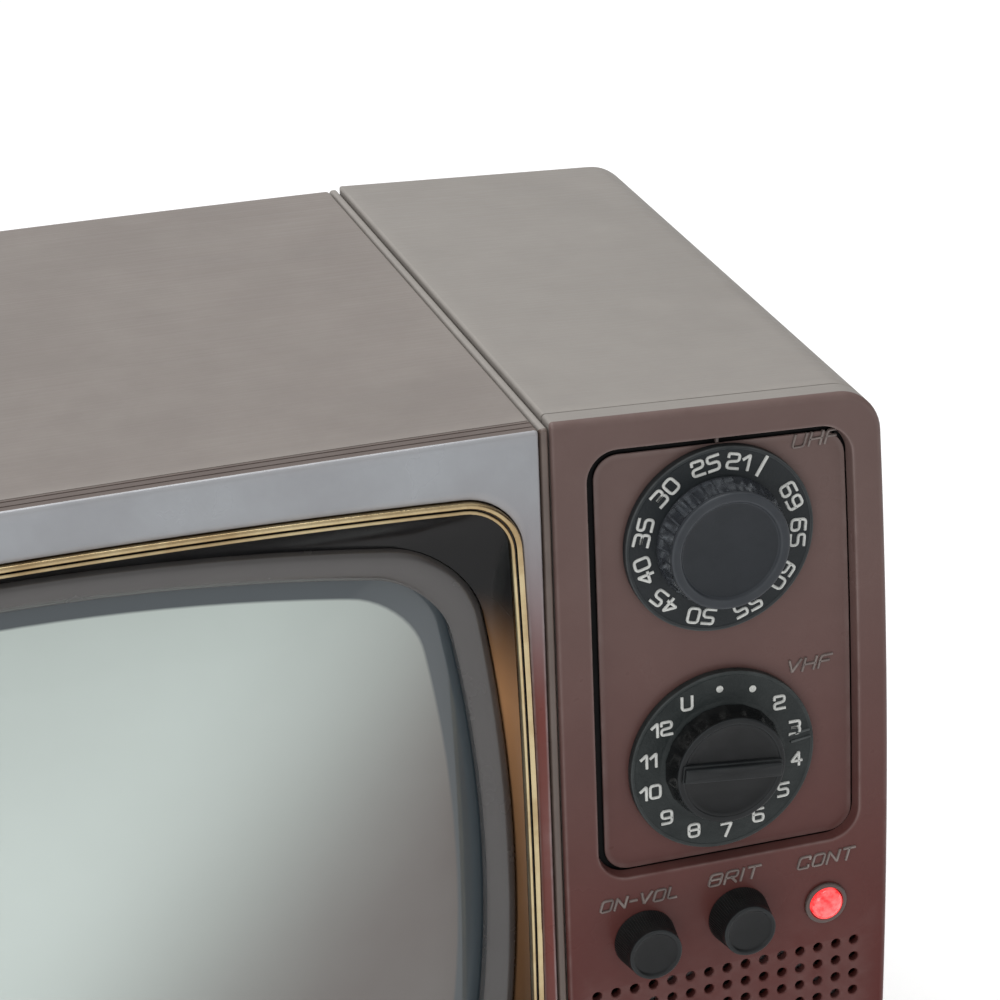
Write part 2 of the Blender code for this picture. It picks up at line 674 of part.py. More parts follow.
def mains_transformer(x, floor):
    """Laminated core with two windows, and the winding round its middle leg."""
    width, thickness, height = TRANSFORMER_SIZE
    middle = sum(TRAY_DEPTHS) / 2
    leg = width / 6
    depths = (middle - thickness / 2, middle + thickness / 2)
    core = add_object("transformer_core", box((x - width / 2, x + width / 2), depths,
                                              (floor, floor + height)), "ferrite")
    window_z = (floor + leg, floor + height - leg)
    beyond = (depths[0] - WALL, depths[1] + WALL)
    cut(core, boxes([((x - width / 2 + leg, x - leg), beyond, window_z),
                     ((x + leg, x + width / 2 - leg), beyond, window_z)]))
    reach = thickness / 2 + leg
    coil = add_object("transformer_coil", box((x - width / 2 + leg + GAP, x + width / 2 - leg - GAP),
                                              (middle - reach, middle + reach),
                                              (window_z[0] + GAP, window_z[1] - GAP)), "copper")
    cut(coil, box((x - leg - GAP, x + leg + GAP), (depths[0] - GAP, depths[1] + GAP),
                  (floor, floor + height)))


def stand_on_board(board_x, deck):
    """Line transformer, reservoir capacitor and a finned heat sink."""
    rear = TRAY_DEPTHS[1] - REAR_ROW_INSET
    rear_row = (("line_transformer", LINE_TRANSFORMER, "ferrite", board_x[1] - REAR_ROW_INSET),
                ("filter_capacitor", FILTER_CAPACITOR, "steel", board_x[0] + COMPONENT_INSET))
    for name, size, finish, x in rear_row:
        add_object(name, upright(*size, deck), finish).location = (x, FRONT_Y + rear, 0.0)
    width, depth, height = HEAT_SINK
    fin = SHEET_METAL
    first = board_x[0] + 2 * COMPONENT_INSET
    front = TRAY_DEPTHS[0] + COMPONENT_INSET
    sink = add_object("heat_sink", box((first, first + width), (front, front + depth),
                                       (deck, deck + height)), "steel")
    pitch = (width - fin) / HEAT_SINK_CHANNELS
    slots = []
    for index in range(HEAT_SINK_CHANNELS):
        left = first + fin + index * pitch
        slots.append(((left, left + pitch - fin), (front + fin, front + depth + fin),
                      (deck - fin, deck + height + fin)))
    cut(sink, boxes(slots))


def upright(radius, height, floor, sides=12):
    """A standing cylinder with a narrower shoulder on top."""
    sections = []
    for share, z in ((1.0, floor), (1.0, floor + height * 0.9), (0.85, floor + height)):
        ring = []
        for i in range(sides):
            angle = 2 * math.pi * i / sides
            ring.append((radius * share * math.cos(angle), radius * share * math.sin(angle), z))
        sections.append(ring)
    return loft(sections)


# Control section

def panel_place(place):
    """A place on the control panel, from its distances to the right side and the bottom."""
    return (RIGHT - place[0], BOTTOM + place[1])


def grille_places():
    places = []
    for row in range(GRILLE_ROWS):
        for column in range(GRILLE_COLUMNS):
            x = RIGHT - GRILLE_RIGHT - column * GRILLE_PITCH
            up = (GRILLE_TOP - row * GRILLE_PITCH) / BODY_HEIGHT
            across = (x - GROOVE_RIGHT) / CONTROL_WIDTH
            places.append((x - SIDE_BOW * across * (2 * up - 1) ** 2, BOTTOM + up * BODY_HEIGHT))
    return places


def speaker_place():
    across = (GRILLE_COLUMNS - 1) * GRILLE_PITCH / 2
    down = (GRILLE_ROWS - 1) * GRILLE_PITCH / 2
    return (RIGHT - GRILLE_RIGHT - across, BOTTOM + GRILLE_TOP - down)


def recess_outline(inset):
    x = (RIGHT - RECESS_X[0] + inset, RIGHT - RECESS_X[1] - inset)
    z = (BOTTOM + RECESS_Z[0] + inset, BOTTOM + RECESS_Z[1] - inset)
    outline = rounded_box(x, z, (RECESS_CORNER - inset,) * 4, 3, 2)
    return [fall_and_bow(px, pz) for px, pz in outline]


def control_panel():
    rim = WALL + GAP
    back = FRONT_THICKNESS + LOCATING_RIM
    sections = list(reversed(rolled_front(control_outline)))
    sections += [at_depth(control_outline(rim), FRONT_THICKNESS), at_depth(control_outline(rim), back),
                 at_depth(control_outline(rim + WALL), back),
                 at_depth(control_outline(rim + WALL), FRONT_THICKNESS)]
    panel = add_object("control_panel", loft(sections), "front")
    slope = RECESS_SLOPE / RECESS_DEPTH
    cut(panel, loft([at_depth(recess_outline(-slope * WALL), -WALL),
                     at_depth(recess_outline(RECESS_SLOPE), RECESS_FLOOR)]))
    pocket_x = (GROOVE_RIGHT + rim + WALL, RIGHT - rim - WALL - SIDE_BOW)
    pocket_z = (BOTTOM + rim + WALL, BOTTOM + RECESS_Z[0] - PANEL_THICKNESS)
    cut(panel, box(pocket_x, (PANEL_THICKNESS, FRONT_THICKNESS + WALL), pocket_z))
    through = (-WALL, back + WALL)
    dials = [(DIAL_X, BOTTOM + UHF_HEIGHT), (DIAL_X, BOTTOM + VHF_HEIGHT)]
    knobs = [panel_place(VOLUME_PLACE), panel_place(BRIGHTNESS_PLACE)]
    cut(panel, pins(dials + knobs, SHAFT_RADIUS + 2 * RUNNING_CLEARANCE, through))
    cut(panel, pins([panel_place(LAMP_PLACE)], LAMP_RADIUS + WALL / 4 + GAP, through, 16))
    cut(panel, pins(grille_places(), GRILLE_HOLE_RADIUS, through, 6))


def tuner_plate():
    """Sheet bracket behind the panel that both tuners hang on."""
    width = VHF_TUNER[0] + 2 * SHEET_METAL
    low = BOTTOM + VHF_HEIGHT - VHF_TUNER[2] / 2
    high = BOTTOM + UHF_HEIGHT + UHF_TUNER[2] / 2
    back = TUNER_FRONT - GAP
    plate = add_object("tuner_plate", box((DIAL_X - width / 2, DIAL_X + width / 2),
                                          (back - SHEET_METAL, back), (low, high)), "steel")
    dials = [(DIAL_X, BOTTOM + UHF_HEIGHT), (DIAL_X, BOTTOM + VHF_HEIGHT)]
    cut(plate, pins(dials, 2 * SHAFT_RADIUS, (back - WALL, back + WALL)))


def tuner_can(name, height, size):
    """A sheet-metal box with a hole in front for the shaft."""
    x = (DIAL_X - size[0] / 2, DIAL_X + size[0] / 2)
    y = (TUNER_FRONT, TUNER_FRONT + size[1])
    z = (BOTTOM + height - size[2] / 2, BOTTOM + height + size[2] / 2)
    can = add_object(name, box(x, y, z), "steel")
    t = SHEET_METAL
    cut(can, box((x[0] + t, x[1] - t), (y[0] + t, y[1] - t), (z[0] + t, z[1] - t)))
    hole = SHAFT_RADIUS + 2 * RUNNING_CLEARANCE
    cut(can, pins([(DIAL_X, BOTTOM + height)], hole, (y[0] - t, y[0] + 2 * t)))
    cut(can, pins([(DIAL_X, BOTTOM + height - size[2] / 3)], hole, (y[1] - 2 * t, y[1] + t)))


def shaft(name, axle, first, last):
    profile = [(SHAFT_RADIUS, first), (SHAFT_RADIUS, last)]
    add_object(name, turned(profile, 12), "steel", axle=axle)


def uhf_group():
    """The UHF tuner; its numbered disc, knob and shaft turn together."""
    axle = add_axle("uhf_axis", DIAL_X, BOTTOM + UHF_HEIGHT)
    bore = SHAFT_RADIUS + RUNNING_CLEARANCE
    dial_back = DIAL_FRONT + DIAL_THICKNESS
    disc = [(bore, DIAL_FRONT), (DIAL_RADIUS, DIAL_FRONT), (DIAL_RADIUS, dial_back), (bore, dial_back)]
    add_object("uhf_dial", turned(disc, 28, closed=True), "knob", axle=axle)
    base = DIAL_FRONT - GAP
    tip = -UHF_KNOB_PROUD
    knob = [(UHF_KNOB_TIP * share, tip + back) for share, back in UHF_KNOB_RIM]
    knob += [(UHF_KNOB_BASE, base), (bore, base), (bore, tip / 2)]
    add_object("uhf_knob", turned(knob, 24), "knob", axle=axle)
    shaft("uhf_shaft", axle, tip / 2 + GAP, TUNER_FRONT + UHF_TUNER[1] * 0.8)
    tuner_can("uhf_tuner", UHF_HEIGHT, UHF_TUNER)


def vhf_group():
    """The VHF tuner; the knob turns the shaft and the turret of channel strips."""
    axle = add_axle("vhf_axis", DIAL_X, BOTTOM + VHF_HEIGHT)
    bore = SHAFT_RADIUS + RUNNING_CLEARANCE
    dial_back = DIAL_FRONT + DIAL_THICKNESS
    hub = 2 * SHAFT_RADIUS
    disc = [(hub, DIAL_FRONT), (DIAL_RADIUS, DIAL_FRONT), (DIAL_RADIUS, dial_back), (hub, dial_back)]
    add_object("vhf_dial", turned(disc, 28, closed=True), "knob", (DIAL_X, BOTTOM + VHF_HEIGHT))
    base = DIAL_FRONT - GAP
    tip = -VHF_KNOB_PROUD
    knob = [(VHF_KNOB_TIP * share, tip + back) for share, back in VHF_KNOB_RIM]
    knob += [(VHF_KNOB_BASE, base), (bore, base), (bore, tip / 2)]
    grip = add_object("vhf_knob", turned(knob, 24), "knob", axle=axle)
    half = GRIP_LENGTH / 2
    bar = box((-GRIP_WIDTH / 2, GRIP_WIDTH / 2), (tip - GRIP_PROUD, tip + GRIP_PROUD), (-half, half))
    bmesh.ops.rotate(bar, verts=bar.verts, cent=(0, 0, 0), matrix=Matrix.Rotation(GRIP_ANGLE, 3, "Y"))
    join(grip, bar, (DIAL_X, BOTTOM + VHF_HEIGHT))
    first = TUNER_FRONT + TURRET_MARGINS[0]
    last = TUNER_FRONT + VHF_TUNER[1] - TURRET_MARGINS[1]
    shaft("vhf_shaft", axle, tip / 2 + GAP, last)
    drum = [(TURRET_RADIUS, first), (TURRET_RADIUS, last), (bore, last), (bore, first)]
    add_object("vhf_turret", turned(drum, TURRET_STATIONS, closed=True), "steel", axle=axle)
    tuner_can("vhf_tuner", VHF_HEIGHT, VHF_TUNER)


def small_control(name, place):
    """A knurled knob on a shaft that turns in a potentiometer behind the panel."""
    x, z = panel_place(place)
    axle = add_axle(f"{name}_axis", x, z)
    bore = SHAFT_RADIUS + RUNNING_CLEARANCE
    tip = -SMALL_KNOB_PROUD
    knob = [(SMALL_KNOB_TIP * share, tip + back) for share, back in SMALL_KNOB_RIM]
    knob += [(SMALL_KNOB_BASE, -GAP), (bore, -GAP), (bore, tip / 2)]
    add_object(f"{name}_knob", turned(knob, 16), "knob", axle=axle)
    radius, length = POTENTIOMETER
    body_front = PANEL_THICKNESS + GAP
    body_back = body_front + length
    shaft(f"{name}_shaft", axle, tip / 2 + GAP, body_back - POTENTIOMETER_END - 3 * GAP)
    body = [(bore, body_back - POTENTIOMETER_END), (bore, body_front), (radius, body_front),
            (radius, body_back)]
    add_object(f"{name}_control", turned(body, 12), "steel", (x, z))


def lamp():
    """Ring, red lens and the holder behind them."""
    place = panel_place(LAMP_PLACE)
    barrel = LAMP_RADIUS + WALL / 4
    ring = [(barrel, PANEL_THICKNESS), (barrel, -GAP), (LAMP_RING_RADIUS, -GAP),
            (LAMP_RING_RADIUS - GAP, -LAMP_RING_PROUD), (LAMP_RADIUS + GAP, -LAMP_RING_PROUD),
            (LAMP_RADIUS + GAP, PANEL_THICKNESS)]
    add_object("lamp_bezel", turned(ring, 16, closed=True), "surround", place)
    dome = [(LAMP_RADIUS * math.cos(a), -LAMP_RING_PROUD - LAMP_DOME * math.sin(a))
            for a in (1.25, 0.8, 0.4, 0.0)]
    add_object("lamp_lens", turned(dome + [(LAMP_RADIUS, PANEL_THICKNESS)], 16), "lens", place)
    front = PANEL_THICKNESS + GAP
    holder = [(LAMP_RING_RADIUS, front), (LAMP_RING_RADIUS, front + LAMP_HOLDER_LENGTH)]
    add_object("lamp_holder", turned(holder, 12), "dark_plastic", place)


def loudspeaker():
    """Pressed frame, paper cone and magnet behind the grille."""
    place = speaker_place()
    front = PANEL_THICKNESS + GAP
    pressings = (("speaker_frame", SPEAKER_FRAME, "steel"), ("speaker_cone", SPEAKER_CONE, "paper"))
    for name, profile, finish in pressings:
        ring = [(SPEAKER_RADIUS * share, front + back) for share, back in profile]
        add_object(name, turned(ring, 16, closed=True), finish, place)
    pole, radius, length = SPEAKER_MAGNET
    seat = front + SPEAKER_SEAT + GAP
    magnet = [(pole, seat - SPEAKER_POLE), (pole, seat), (radius, seat), (radius, seat + length)]
    add_object("speaker_magnet", turned(magnet, 16), "ferrite", place)


# Back

def cover_outline(inset):
    corner = max(COVER_CORNER - inset / 2, COVER_LEAST_CORNER)
    x = (LEFT + COVER_MARGIN + SIDE_BOW + inset, RIGHT - COVER_MARGIN - SIDE_BOW - inset)
    z = (BOTTOM + COVER_MARGIN + inset, TOP - COVER_MARGIN - TOP_FALL - inset)
    return rounded_box(x, z, (corner,) * 4, 3, 1)


def rear_screw_places():
    inset = COVER_FLANGE / 2
    x = (LEFT + COVER_MARGIN + SIDE_BOW + inset, RIGHT - COVER_MARGIN - SIDE_BOW - inset)
    z = (BOTTOM + COVER_MARGIN + 4 * inset, TOP - COVER_MARGIN - TOP_FALL - 4 * inset)
    return [(x[0], z[0]), (x[1], z[0]), (x[1], z[1]), (x[0], z[1])]


def hump_outline(inset):
    half = (HUMP_HALF[0] - inset, HUMP_HALF[1] - inset)
    return rounded_box((SCREEN_X - half[0], SCREEN_X + half[0]), (SCREEN_Z - half[1], SCREEN_Z + half[1]),
                       (max(HUMP_CORNER - inset / 2, COVER_LEAST_CORNER),) * 4, 3, 1)


def vent_slots():
    """Upright slots in the cover's back, in a row on each side of the hump and across it."""
    back = CABINET_DEPTH + COVER_BODY_DEPTH
    through = (back - 2 * WALL, back + WALL)
    slots = []
    for side in (-1, 1):
        count = VENT_COUNT if side > 0 else VENT_COUNT_LEFT
        middle = SCREEN_X + side * (HUMP_HALF[0] + VENT_PITCH * (count + 1) / 2)
        for index in range(count):
            x = middle + (index - (count - 1) / 2) * VENT_PITCH
            for low in (SCREEN_Z + VENT_PITCH / 2, SCREEN_Z - VENT_PITCH / 2 - VENT_HEIGHT):
                slots.append(((x - VENT_WIDTH / 2, x + VENT_WIDTH / 2), through, (low, low + VENT_HEIGHT)))
    hump_through = (BACK - 2 * WALL, BACK + WALL)
    for index in range(VENT_COUNT):
        x = SCREEN_X + (index - (VENT_COUNT - 1) / 2) * VENT_PITCH
        slots.append(((x - VENT_WIDTH / 2, x + VENT_WIDTH / 2), hump_through,
                      (SCREEN_Z - VENT_HEIGHT / 2, SCREEN_Z + VENT_HEIGHT / 2)))
    return boxes(slots)


def rear_cover():
    front = CABINET_DEPTH + GAP
    flange = front + PANEL_THICKNESS
    back = CABINET_DEPTH + COVER_BODY_DEPTH
    taper = COVER_FLANGE + COVER_TAPER
    sections = [at_depth(cover_outline(0.0), front), at_depth(cover_outline(0.0), flange),
                at_depth(cover_outline(COVER_FLANGE), flange),
                at_depth(cover_outline(taper), back - COVER_EDGE),
                at_depth(cover_outline(taper + COVER_EDGE), back)]
    cover = add_object("rear_cover", loft(sections), "dark_plastic")
    join(cover, loft([at_depth(hump_outline(0.0), back - WALL / 2),
                      at_depth(hump_outline(HUMP_TAPER), BACK)]))
    t = PANEL_THICKNESS
    cut(cover, loft([at_depth(cover_outline(COVER_FLANGE + t), front - WALL),
                     at_depth(cover_outline(COVER_FLANGE + t), flange),
                     at_depth(cover_outline(taper + t), back - COVER_EDGE - t / 2),
                     at_depth(cover_outline(taper + COVER_EDGE + t), back - t)]))
    cut(cover, loft([at_depth(hump_outline(t), back - 2 * t),
                     at_depth(hump_outline(HUMP_TAPER + t), BACK - t)]))
    cut(cover, pins(rear_screw_places(), SCREW_RADIUS + 2 * GAP, (front - WALL, flange + WALL), 8))
    cut(cover, vent_slots())
    cut(cover, pins(preset_places(), PRESET_SHAFT_RADIUS + 2 * GAP, (back - 2 * WALL, back + WALL)))
    cut(cover, pins([aerial_place()], AERIAL_BARREL[1] + GAP, (back - 2 * WALL, back + WALL), 16))
    cut(cover, inlet_box(GAP, (back - 2 * WALL, back + WALL)))
    for number, place in enumerate(rear_screw_places(), 1):
        add_screw(f"rear_screw_{number}", place, flange + GAP)


def preset_places():
    x = RIGHT - DIAL_FROM_RIGHT
    z = TOP - COVER_MARGIN - TOP_FALL - PRESETS_BELOW_TOP
    return [(x - PRESET_PITCH / 2, z), (x + PRESET_PITCH / 2, z)]


def aerial_place():
    return (RIGHT - DIAL_FROM_RIGHT, BOTTOM + AERIAL_HEIGHT)


def inlet_place():
    return (RIGHT - DIAL_FROM_RIGHT, BOTTOM + INLET_HEIGHT)


def inlet_box(margin, depths):
    """A box round the mains inlet's body, larger by a margin on every side."""
    x, z = inlet_place()
    half_x, half_z = INLET_HALF
    return box((x - half_x - margin, x + half_x + margin), depths,
               (z - half_z - margin, z + half_z + margin))


def presets():
    """Two preset knobs in the back, each on its own shaft, and the board behind them."""
    back = CABINET_DEPTH + COVER_BODY_DEPTH
    inside = back - PANEL_THICKNESS
    for name, (x, z) in zip(("vertical_hold", "horizontal_hold"), preset_places()):
        axle = add_axle(f"{name}_axis", x, z)
        knob = [(PRESET_SHAFT_RADIUS, inside - 2 * PRESET_BOARD_SPACING), (PRESET_SHAFT_RADIUS, back + GAP),
                (PRESET_KNOB_RADIUS, back + GAP), (PRESET_KNOB_RADIUS * 0.9, back + PRESET_PROUD)]
        add_object(f"{name}_knob", turned(knob, 12), "knob", axle=axle)
    centre = RIGHT - DIAL_FROM_RIGHT
    z = preset_places()[0][1]
    width, depth, height = PRESET_BOARD
    last = inside - PRESET_BOARD_SPACING
    board = add_object("hold_controls", box((centre - width / 2, centre + width / 2), (last - depth, last),
                                            (z - height / 2, z + height / 2)), "board")
    bore = (inside - 2 * PRESET_BOARD_SPACING - 3 * GAP, inside)
    cut(board, pins(preset_places(), PRESET_SHAFT_RADIUS + GAP, bore))


def rear_sockets():
    """Coaxial aerial socket and a two-pin mains inlet."""
    back = CABINET_DEPTH + COVER_BODY_DEPTH
    outer = back + AERIAL_PROUD
    bore, barrel = AERIAL_BARREL
    flange, thickness = AERIAL_FLANGE
    aerial = [(barrel, back - AERIAL_INSIDE), (barrel, back + GAP), (flange, back + GAP),
              (flange, back + thickness), (barrel, back + thickness), (barrel, outer), (bore, outer),
              (bore, back - PIN_RADIUS)]
    add_object("aerial_socket", turned(aerial, 12), "steel", aerial_place())
    x, z = inlet_place()
    rim, lip = INLET_RIM
    floor = back - INLET_DEPTH
    inlet = add_object("mains_inlet", inlet_box(rim, (back + GAP, back + lip)), "dark_plastic")
    join(inlet, inlet_box(0.0, (floor, back + INLET_WALL)))
    cut(inlet, inlet_box(-INLET_WALL, (floor + 2 * PIN_RADIUS, back + 2 * lip)))
    for side in (-1, 1):
        pin = pins([(x + side * PIN_OFFSET, z)], PIN_RADIUS, (floor + PIN_RADIUS, back - PIN_RADIUS), 8)
        join(inlet, pin)


def feet():
    """Four rubber feet, two under each section."""
    y = (SLEEVE_FRONT + FOOT_INSET, CABINET_DEPTH - FOOT_INSET)
    number = 0
    for x in (LEFT + FOOT_INSET, RIGHT - FOOT_INSET):
        for depth in y:
            number += 1
            sections = []
            for radius, z in ((FOOT_RADIUS * 0.85, 0.0), (FOOT_RADIUS, FOOT_HEIGHT * 0.2),
                              (FOOT_RADIUS, FOOT_HEIGHT - GAP)):
                turn = [2 * math.pi * i / 12 for i in range(12)]
                sections.append([(radius * math.cos(a), radius * math.sin(a), z) for a in turn])
            foot = add_object(f"foot_{number}", loft(sections), "rubber")
            foot.location = (x, FRONT_Y + depth, 0.0)


def main():
    clear_scene()
    sleeve("picture_cabinet", picture_outline)
    sleeve("control_cabinet", control_outline)
    groove_spine()
    front_bezel()
    gold_trim()
    screen_mask()
    tube_surround()
    picture_tube()
    tube_band()
    deflection_yoke()
    tube_base_board()
    chassis()
    control_panel()
    tuner_plate()
    uhf_group()
    vhf_group()
    small_control("volume", VOLUME_PLACE)
    small_control("brightness", BRIGHTNESS_PLACE)
    lamp()
    loudspeaker()
    rear_cover()
    presets()
    rear_sockets()
    feet()


main()
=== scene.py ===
"""Tube television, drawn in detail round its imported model.

Laid out as an add-on: a panel of sizes and colours, and one operator for each group of pieces.
Everything is in metres, +Z up, front towards -Y. Depths are measured from the front face,
positive towards the back. The CAD model is the fixed frame that every piece fits.
"""
import math

import bmesh
import bpy
import numpy as np
from bpy.props import FloatProperty, FloatVectorProperty, IntProperty, PointerProperty
from mathutils import Matrix, Vector
from mathutils.geometry import delaunay_2d_cdt


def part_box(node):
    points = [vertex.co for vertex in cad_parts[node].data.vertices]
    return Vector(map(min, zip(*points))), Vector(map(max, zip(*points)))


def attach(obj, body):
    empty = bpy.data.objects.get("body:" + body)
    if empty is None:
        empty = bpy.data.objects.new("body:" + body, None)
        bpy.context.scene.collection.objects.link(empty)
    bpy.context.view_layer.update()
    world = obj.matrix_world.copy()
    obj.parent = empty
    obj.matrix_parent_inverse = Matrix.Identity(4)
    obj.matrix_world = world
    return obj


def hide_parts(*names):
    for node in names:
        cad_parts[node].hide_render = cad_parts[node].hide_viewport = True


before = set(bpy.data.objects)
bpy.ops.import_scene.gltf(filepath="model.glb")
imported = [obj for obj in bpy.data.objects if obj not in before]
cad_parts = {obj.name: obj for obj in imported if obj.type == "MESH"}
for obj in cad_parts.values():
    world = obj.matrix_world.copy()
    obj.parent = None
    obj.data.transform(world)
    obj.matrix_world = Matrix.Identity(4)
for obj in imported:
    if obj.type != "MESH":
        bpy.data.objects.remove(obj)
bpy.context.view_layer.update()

bl_info = {
    "name": "Tube Television",
    "version": (1, 0, 0),
    "blender": (4, 5, 0),
    "location": "View3D > Sidebar > Television",
    "description": "Builds a portable tube television round its packed model",
    "category": "Object",
}

# Places read from the frame
FRONT_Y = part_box("front_bezel")[0][1]
LEFT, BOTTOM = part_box("picture_cabinet")[0][0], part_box("picture_cabinet")[0][2]
GROOVE_LEFT, CABINET_BACK_Y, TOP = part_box("picture_cabinet")[1]
GROOVE_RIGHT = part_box("control_cabinet")[0][0]
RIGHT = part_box("control_cabinet")[1][0]
CABINET_DEPTH = CABINET_BACK_Y - FRONT_Y
PICTURE_WIDTH = GROOVE_LEFT - LEFT
CONTROL_WIDTH = RIGHT - GROOVE_RIGHT
BODY_HEIGHT = TOP - BOTTOM
TRIM_LOW, TRIM_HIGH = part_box("gold_trim")
SCREEN_X = (TRIM_LOW[0] + TRIM_HIGH[0]) / 2
SCREEN_Z = (TRIM_LOW[2] + TRIM_HIGH[2]) / 2
TRIM_HALF = ((TRIM_HIGH[0] - TRIM_LOW[0]) / 2, (TRIM_HIGH[2] - TRIM_LOW[2]) / 2)
DIAL_X = (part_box("uhf_dial")[0][0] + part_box("uhf_dial")[1][0]) / 2
UHF_Z = (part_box("uhf_dial")[0][2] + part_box("uhf_dial")[1][2]) / 2
VHF_Z = (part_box("vhf_dial")[0][2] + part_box("vhf_dial")[1][2]) / 2
DIAL_RADIUS = (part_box("uhf_dial")[1][2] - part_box("uhf_dial")[0][2]) / 2
DIAL_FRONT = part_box("uhf_dial")[0][1] - FRONT_Y
DIAL_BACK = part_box("uhf_dial")[1][1] - FRONT_Y
COVER_LOW, COVER_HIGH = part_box("rear_cover")
BACK = COVER_HIGH[1] - FRONT_Y

# Shared measures of the mouldings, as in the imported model
GAP = 0.0003
WALL = 0.0026
FRONT_THICKNESS = 0.0075
GROOVE_DEPTH = 0.0022
SLEEVE_FRONT = FRONT_THICKNESS + GAP
LOCATING_RIM = 0.0040
ROLL_RADIUS = 0.0016
GROOVE_EDGE = 0.0008
CORNER_RADIUS = 0.0120
GROOVE_CORNER_RADIUS = 0.0010
TOP_CROWN = 0.0012
REAR_ROLL_RADIUS = 0.0050
REAR_FLANGE = 0.0220
SIDE_BOW = 0.0035
TOP_FALL = CONTROL_WIDTH * math.tan(math.radians(3.0))
TRIM_BOW = (0.0020, 0.0045)
TRIM_CORNER = 0.0150
TRIM_WIDTH = 0.0032
LIP_HALF = (0.1332, 0.1075)
LIP_BOW = (0.0100, 0.0120)
LIP_CORNER = 0.0220
GLASS_HALF = (0.1253, 0.0985)
GLASS_CORNER = 0.0180
FACE_MARGIN = 0.0032
FACE_SAG = 0.0150
FACE_EDGE_DEPTH = 0.0190
FACE_GLASS = 0.0070
MASK_DEPTH = 0.0120
MASK_THICKNESS = 0.0020
TUBE_RIM_DEPTH = 0.0440
TUBE_GLASS = 0.0030
FUNNEL_END = 0.1620
NECK_END = 0.2320
NECK_RADIUS = 0.0102
NECK_GLASS = 0.0012
BAND_THICKNESS = 0.0012
RECESS_X = (0.0856, 0.0091)
RECESS_Z = (0.1310, 0.2585)
RECESS_DEPTH = 0.0035
RECESS_SLOPE = 0.0006
RECESS_CORNER = 0.0090
PANEL_THICKNESS = 0.0025
SHAFT_HOLE = 0.0034


def middle_of(node):
    """Across and up from the front, the middle of a node's box."""
    low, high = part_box(node)
    return (low[0] + high[0]) / 2, (low[2] + high[2]) / 2


# Outlines, as arrays of (x, z)

CORNER_STEPS = 12
SIDE_STEPS = 20


def rounded_box(x, z, radii, corner_steps=CORNER_STEPS, side_steps=SIDE_STEPS):
    """A box with quarter circles at its corners, from the lower left corner anticlockwise.

    Each corner is its centre plus radius times (cos, sin) of an angle that runs through a
    quarter turn; each side is a straight blend from one corner's end to the next one's start."""
    turn = np.linspace(0.0, math.pi / 2, corner_steps + 1)
    corners = [(x[0], z[0], 1, 1), (x[1], z[0], -1, 1), (x[1], z[1], -1, -1), (x[0], z[1], 1, -1)]
    arcs = []
    for index, (cx, cz, sx, sz) in enumerate(corners):
        angle = math.pi + index * math.pi / 2 + turn
        radius = radii[index]
        arcs.append(np.stack([cx + sx * radius + radius * np.cos(angle),
            cz + sz * radius + radius * np.sin(angle)], axis=1))
    share = np.linspace(0.0, 1.0, side_steps + 1)[1:-1, None]
    loops = []
    for index, arc in enumerate(arcs):
        start, end = arc[-1], arcs[(index + 1) % 4][0]
        loops += [arc, start + (end - start) * share]
    return np.concatenate(loops)


def bowed(points):
    """The control section's right side swells: x less bow times the share across times
    the square of the height's share from the middle."""
    across = (points[:, 0] - GROOVE_RIGHT) / CONTROL_WIDTH
    up = (points[:, 1] - BOTTOM) / BODY_HEIGHT
    moved = points.copy()
    moved[:, 0] -= SIDE_BOW * across * (2 * up - 1) ** 2
    return moved


def fall_and_bow(points):
    """Bowed as above, and the top falls to the right by the fall times both shares."""
    across = (points[:, 0] - GROOVE_RIGHT) / CONTROL_WIDTH
    up = (points[:, 1] - BOTTOM) / BODY_HEIGHT
    moved = bowed(points)
    moved[:, 1] -= TOP_FALL * across * up
    return moved


def side_radii(inset, groove_inset):
    soft = max(CORNER_RADIUS - inset, 0.0005)
    tight = max(GROOVE_CORNER_RADIUS - groove_inset, 0.0005)
    return soft, tight


def picture_outline(inset, groove_inset=None):
    """The picture section from the front: the top falls with the square of the distance from
    the screen's middle, the left side is bowed, the groove side is straight."""
    groove_inset = inset if groove_inset is None else groove_inset
    soft, tight = side_radii(inset, groove_inset)
    points = rounded_box((LEFT + inset, GROOVE_LEFT - groove_inset), (BOTTOM + inset, TOP - inset),
        (soft, tight, tight, soft))
    across = (GROOVE_LEFT - points[:, 0]) / PICTURE_WIDTH
    up = (points[:, 1] - BOTTOM) / BODY_HEIGHT
    points[:, 1] -= TOP_CROWN * up * ((points[:, 0] - SCREEN_X) / (GROOVE_LEFT - SCREEN_X)) ** 2
    points[:, 0] += SIDE_BOW * across * (2 * up - 1) ** 2
    return points


def control_outline(inset, groove_inset=None):
    """The control section from the front: top falling to the right, bowed right side."""
    groove_inset = inset if groove_inset is None else groove_inset
    soft, tight = side_radii(inset, groove_inset)
    return fall_and_bow(rounded_box((GROOVE_RIGHT + groove_inset, RIGHT - inset),
        (BOTTOM + inset, TOP - inset), (tight, soft, soft, tight)))


def screen_outline(half, bow, corner, inset):
    """A rounded box about the screen's middle. Each side swells: a coordinate times
    one less the bow over the half size times the square of the other coordinate's share."""
    half_x, half_z = half[0] - inset, half[1] - inset
    points = rounded_box((-half_x, half_x), (-half_z, half_z), (max(corner - inset, 0.001),) * 4)
    narrow = 1 - bow[0] / half_x * (points[:, 1] / half_z) ** 2
    low = 1 - bow[1] / half_z * (points[:, 0] / half_x) ** 2
    return np.stack([SCREEN_X + points[:, 0] * narrow, SCREEN_Z + points[:, 1] * low], axis=1)


def trim_outline(inset):
    return screen_outline(TRIM_HALF, TRIM_BOW, TRIM_CORNER, inset)


def lip_outline(inset):
    return screen_outline(LIP_HALF, LIP_BOW, LIP_CORNER, inset)


